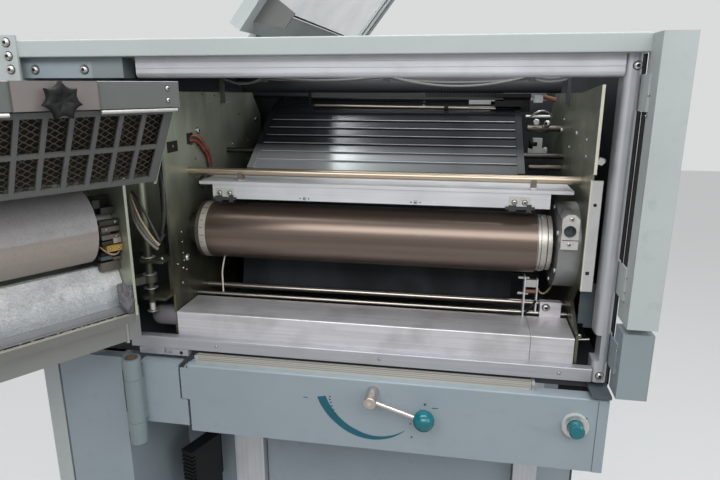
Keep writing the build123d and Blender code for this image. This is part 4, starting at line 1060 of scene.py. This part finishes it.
for x, z, wide, high in leverScale["marks"]:
    printed.box(x - wide / 2, x + wide / 2, face, -5, z - high / 2, z + high / 2)
printed.use("darkPaint")
printed.box(344.5, 345.7, face, -5, 806, 922)  # the seam by the end cap
for x, z in leverScale["darkMarks"]:
    printed.box(x - 1.5, x + 1.5, face, -5, z - 0.9, z + 0.9)
printed.rod((330, -5.1, 892), (330, -5.4, 892), 1.6, 10)
printed.done()

# Rows of small holes in the knurled strip, painted dark as the shade in them, and the bright blocks at its
# ends
gripStripHoles = {
    "name": "gripStripHoles", "body": "front_bar", "slot": "aluminium",
    "start": -270.0,
    "end": 250,
    "pitch": 3.1,
    "rows": [(926, 0), (929.2, 1.5), (932.4, 0)],
}
holes = Gather(gripStripHoles).use("gripDark")
x = gripStripHoles["start"]
while x < gripStripHoles["end"]:
    for z, offset in gripStripHoles["rows"]:
        holes.box(x + offset, x + offset + 1.5, 8.9, 9.0, z, z + 1.5)
    holes.box(x, x + 1.9, 9.4, 12.4, 935, 935.06)
    x += gripStripHoles["pitch"]
holes.use("bolt")
holes.box(252.3, 256.5, 7, 18, 923, 937)
holes.box(-276, -272.3, 9, 17, 923, 934)
holes.button((254.4, 7, 930), toFront, 1.6)
holes.done()

buttonMarks = {"name": "buttonMarks", "body": "front_bar", "slot": "light_plastic", "place": (315, -10, 880)}
marksRing = Gather(buttonMarks).use("bolt")
middle = Vector(buttonMarks["place"])
marksRing.turned(middle, middle + Vector(toFront), [(0, 18), (0.5, 18), (0.5, 13), (0, 13)], 36)
marksRing.done()

smoothBall = {
    "name": "smoothBall", "body": "lever", "slot": "teal_plastic",
    "radius": 16,
    "reach": 83,
    "depth": -34,
    "down": 17.5,
}
ball = Gather(smoothBall).use("tealPlastic")
down, radius = radians(smoothBall["down"]), smoothBall["radius"]
aim = Vector((cos(down), 0, -sin(down)))
middle = Vector((cx, smoothBall["depth"], cz)) + aim * smoothBall["reach"]
steps = spread(-pi / 2, pi / 2, 25)
ball.turned(middle, middle + aim, [(radius * sin(t), max(radius * cos(t), 0)) for t in steps], 48)
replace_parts(ball.done(80), "lever_ball")

leverTrim = {"name": "leverTrim", "body": "lever", "slot": "chrome"}
hub = Gather(leverTrim).use("hubBrown")
hub.turned((cx, -43, cz), (cx, -44, cz), [(-6, 9.3), (0, 9.3), (0.7, 8.4), (0.7, 4), (-1, 3.6), (-1, 0)], 32)
hub.done()

starKnobs = {
    "places": {"left": 188, "right": 479},
    "height": 1342,
    "back": 211.5,
    "radius": 20,
    "lobes": 7,
    "scallop": 5.2,
    "sides": 84,
    # Share of the radius and distance from the back, from the back's middle to the front's
    "outline": [
        (0.0, 0.0), (0.86, 0.0), (0.95, 0.8), (0.995, 2.6), (0.995, 8.4), (0.965, 10.4), (0.9, 11.6),
        (0.82, 12.0), (0.45, 12.0), (0.43, 11.6), (0.0, 11.6),
    ],
}
rim = []
for k in range(starKnobs["sides"]):
    turn = 2 * pi * k / starKnobs["sides"]
    between = starKnobs["lobes"] * k / starKnobs["sides"] % 1
    hollow = 1 - abs(2 * between - 1) ** 2.4
    far = 1 - starKnobs["scallop"] / starKnobs["radius"] * hollow
    rim.append((far * sin(turn), far * cos(turn)))
for name, a in starKnobs["places"].items():
    spec = {"name": name + "StarKnob", "body": "knob_" + name, "slot": "black_plastic"}
    star = Gather(spec, onUnit).use("blackPlastic")
    layers = []
    for share, b in starKnobs["outline"]:
        far, deep = starKnobs["radius"] * share, starKnobs["back"] + b
        height = starKnobs["height"]
        layers.append([star.corner((a + far * aside, deep, height + far * up)) for aside, up in rim])
    star.skin(layers)
    bmesh.ops.remove_doubles(star.mesh, verts=star.mesh.verts, dist=0.00001)
    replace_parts(star.done(70), "star_knob_" + name)

# The lid's corner plate, the seal round its window and its screws
lidTrim = {
    "name": "lidTrim", "body": "lid", "slot": "light_paint",
    "hinge": (-197, 1429),
    "angle": 52,
    "plate": [(28, -8), (76, -8), (76, -52), (50, -52)],
    "plateSides": (70, 73),
    "boxes": {
        "blackPlastic": [
            (57, 506, 88, 91, -9.5, -8), (57, 506, 881, 884, -9.5, -8), (57, 60, 88, 884, -9.5, -8),
            (503, 506, 88, 884, -9.5, -8),
        ],
    },
    "screws": (70, 900, 6),
}


def onLid(x, y, z):
    # A place on the lid as it stands open, given as if it were closed, from its hinge.
    turn = radians(lidTrim["angle"])
    hx, hz = lidTrim["hinge"]
    return at(hx + x * cos(turn) - z * sin(turn), y, hz + x * sin(turn) + z * cos(turn))


lidParts = Gather(lidTrim, onLid).listed().use("unitGrey")
sideRings = [[lidParts.corner((x, y, z)) for x, z in lidTrim["plate"]] for y in lidTrim["plateSides"]]
lidParts.skin(sideRings)
for ring in sideRings:
    lidParts.face(ring)
lidParts.use("bolt")
for y in spread(*lidTrim["screws"]):
    lidParts.button((32, y, 10), (0, 0, 1), 3.5)
lidParts.done()
print("stage: small pieces made")

backdrop = (0.70, 0.71, 0.71, 1)


def seenShare(tree):
    # 1 for rays that show the background, in the picture, in metal and through glass, else 0.
    path = tree.nodes.new("ShaderNodeLightPath")
    share = path.outputs["Is Camera Ray"]
    for kind in ("Is Glossy Ray", "Is Transmission Ray"):
        more = tree.nodes.new("ShaderNodeMath")
        more.operation = "MAXIMUM"
        tree.links.new(share, more.inputs[0])
        tree.links.new(path.outputs[kind], more.inputs[1])
        share = more.outputs[0]
    return share


floorMesh = bpy.data.meshes.new("floor")
floorMesh.from_pydata([(-9, -7, 0), (9, -7, 0), (9, 9, 0), (-9, 9, 0)], [], [(0, 1, 2, 3)])
floor = placed("floor", floorMesh)
floorShade = Shade("floorShade", (0.42, 0.42, 0.415), 0.8)
floorShade.shader.inputs["Emission Color"].default_value = backdrop
glow = floorShade.math("MULTIPLY", seenShare(floorShade.tree), 0.42)
floorShade.join(glow, floorShade.shader.inputs["Emission Strength"])
# Light that the floor throws back on the machine is darker than the floor looks.
floorShade.tint(floorShade.math("SUBTRACT", 1.0, seenShare(floorShade.tree)), (0.24, 0.24, 0.24))
floorMesh.materials.append(floorShade.material)

world = bpy.data.worlds.new("studio")
bpy.context.scene.world = world
world.use_nodes = True
tree = world.node_tree
background = tree.nodes["Background"]
background.inputs["Color"].default_value = (0.84, 0.88, 0.90, 1)
background.inputs["Strength"].default_value = 0.5
seen = tree.nodes.new("ShaderNodeBackground")
seen.inputs["Color"].default_value = backdrop
mixed = tree.nodes.new("ShaderNodeMixShader")
tree.links.new(seenShare(tree), mixed.inputs[0])
tree.links.new(background.outputs[0], mixed.inputs[1])
tree.links.new(seen.outputs[0], mixed.inputs[2])
tree.links.new(mixed.outputs[0], tree.nodes["World Output"].inputs["Surface"])


def lamp(name, place, target, size, power, colour):
    light = bpy.data.lights.new(name, "AREA")
    light.shape = "RECTANGLE"
    light.size, light.size_y = size
    light.energy = power
    light.color = colour
    made = placed(name, light)
    made.location = place
    made.rotation_euler = (Vector(target) - Vector(place)).to_track_quat("-Z", "Y").to_euler()


# Place, target and size in metres, power in watts
lamp("ceilingLamp", (0.2, -0.7, 3.2), (0.1, -0.2, 1.0), (2.6, 0.7), 34, (0.97, 1.0, 1.0))
lamp("backLamp", (0.1, 1.6, 2.9), (0.0, 0.0, 1.2), (1.3, 0.5), 15, (0.96, 1.0, 1.0))
lamp("slotLamp", (-0.61, 0.42, 3.1), (-0.06, -0.2, 1.23), (0.64, 0.22), 11, (0.97, 1.0, 1.0))
lamp("frontLamp", (0.3, -2.9, 2.9), (0.0, -0.3, 1.1), (3.2, 1.2), 62, (0.98, 1.0, 1.0))
lamp("leftLamp", (-2.4, -2.0, 2.4), (0.0, -0.3, 1.1), (1.4, 1.4), 7, (0.94, 0.98, 1.0))
lamp("rightLamp", (2.3, -1.7, 2.0), (-0.2, -0.3, 1.15), (1.4, 1.4), 16, (0.97, 1.0, 1.0))

# The photograph's camera: place in metres, angles in degrees, lens in millimetres
view = {"place": (0.228, -1.2775, 1.358), "down": 14.89, "aside": 9.88, "lens": 29.275, "sensor": 36}
camera = placed("camera", bpy.data.cameras.new("camera"))
camera.location = view["place"]
camera.rotation_euler = (radians(90 - view["down"]), 0, radians(view["aside"]))
camera.data.lens = view["lens"]
camera.data.sensor_width = view["sensor"]
bpy.context.scene.camera = camera
bpy.context.scene.view_settings.view_transform = "Standard"
print("stage: light and camera set")
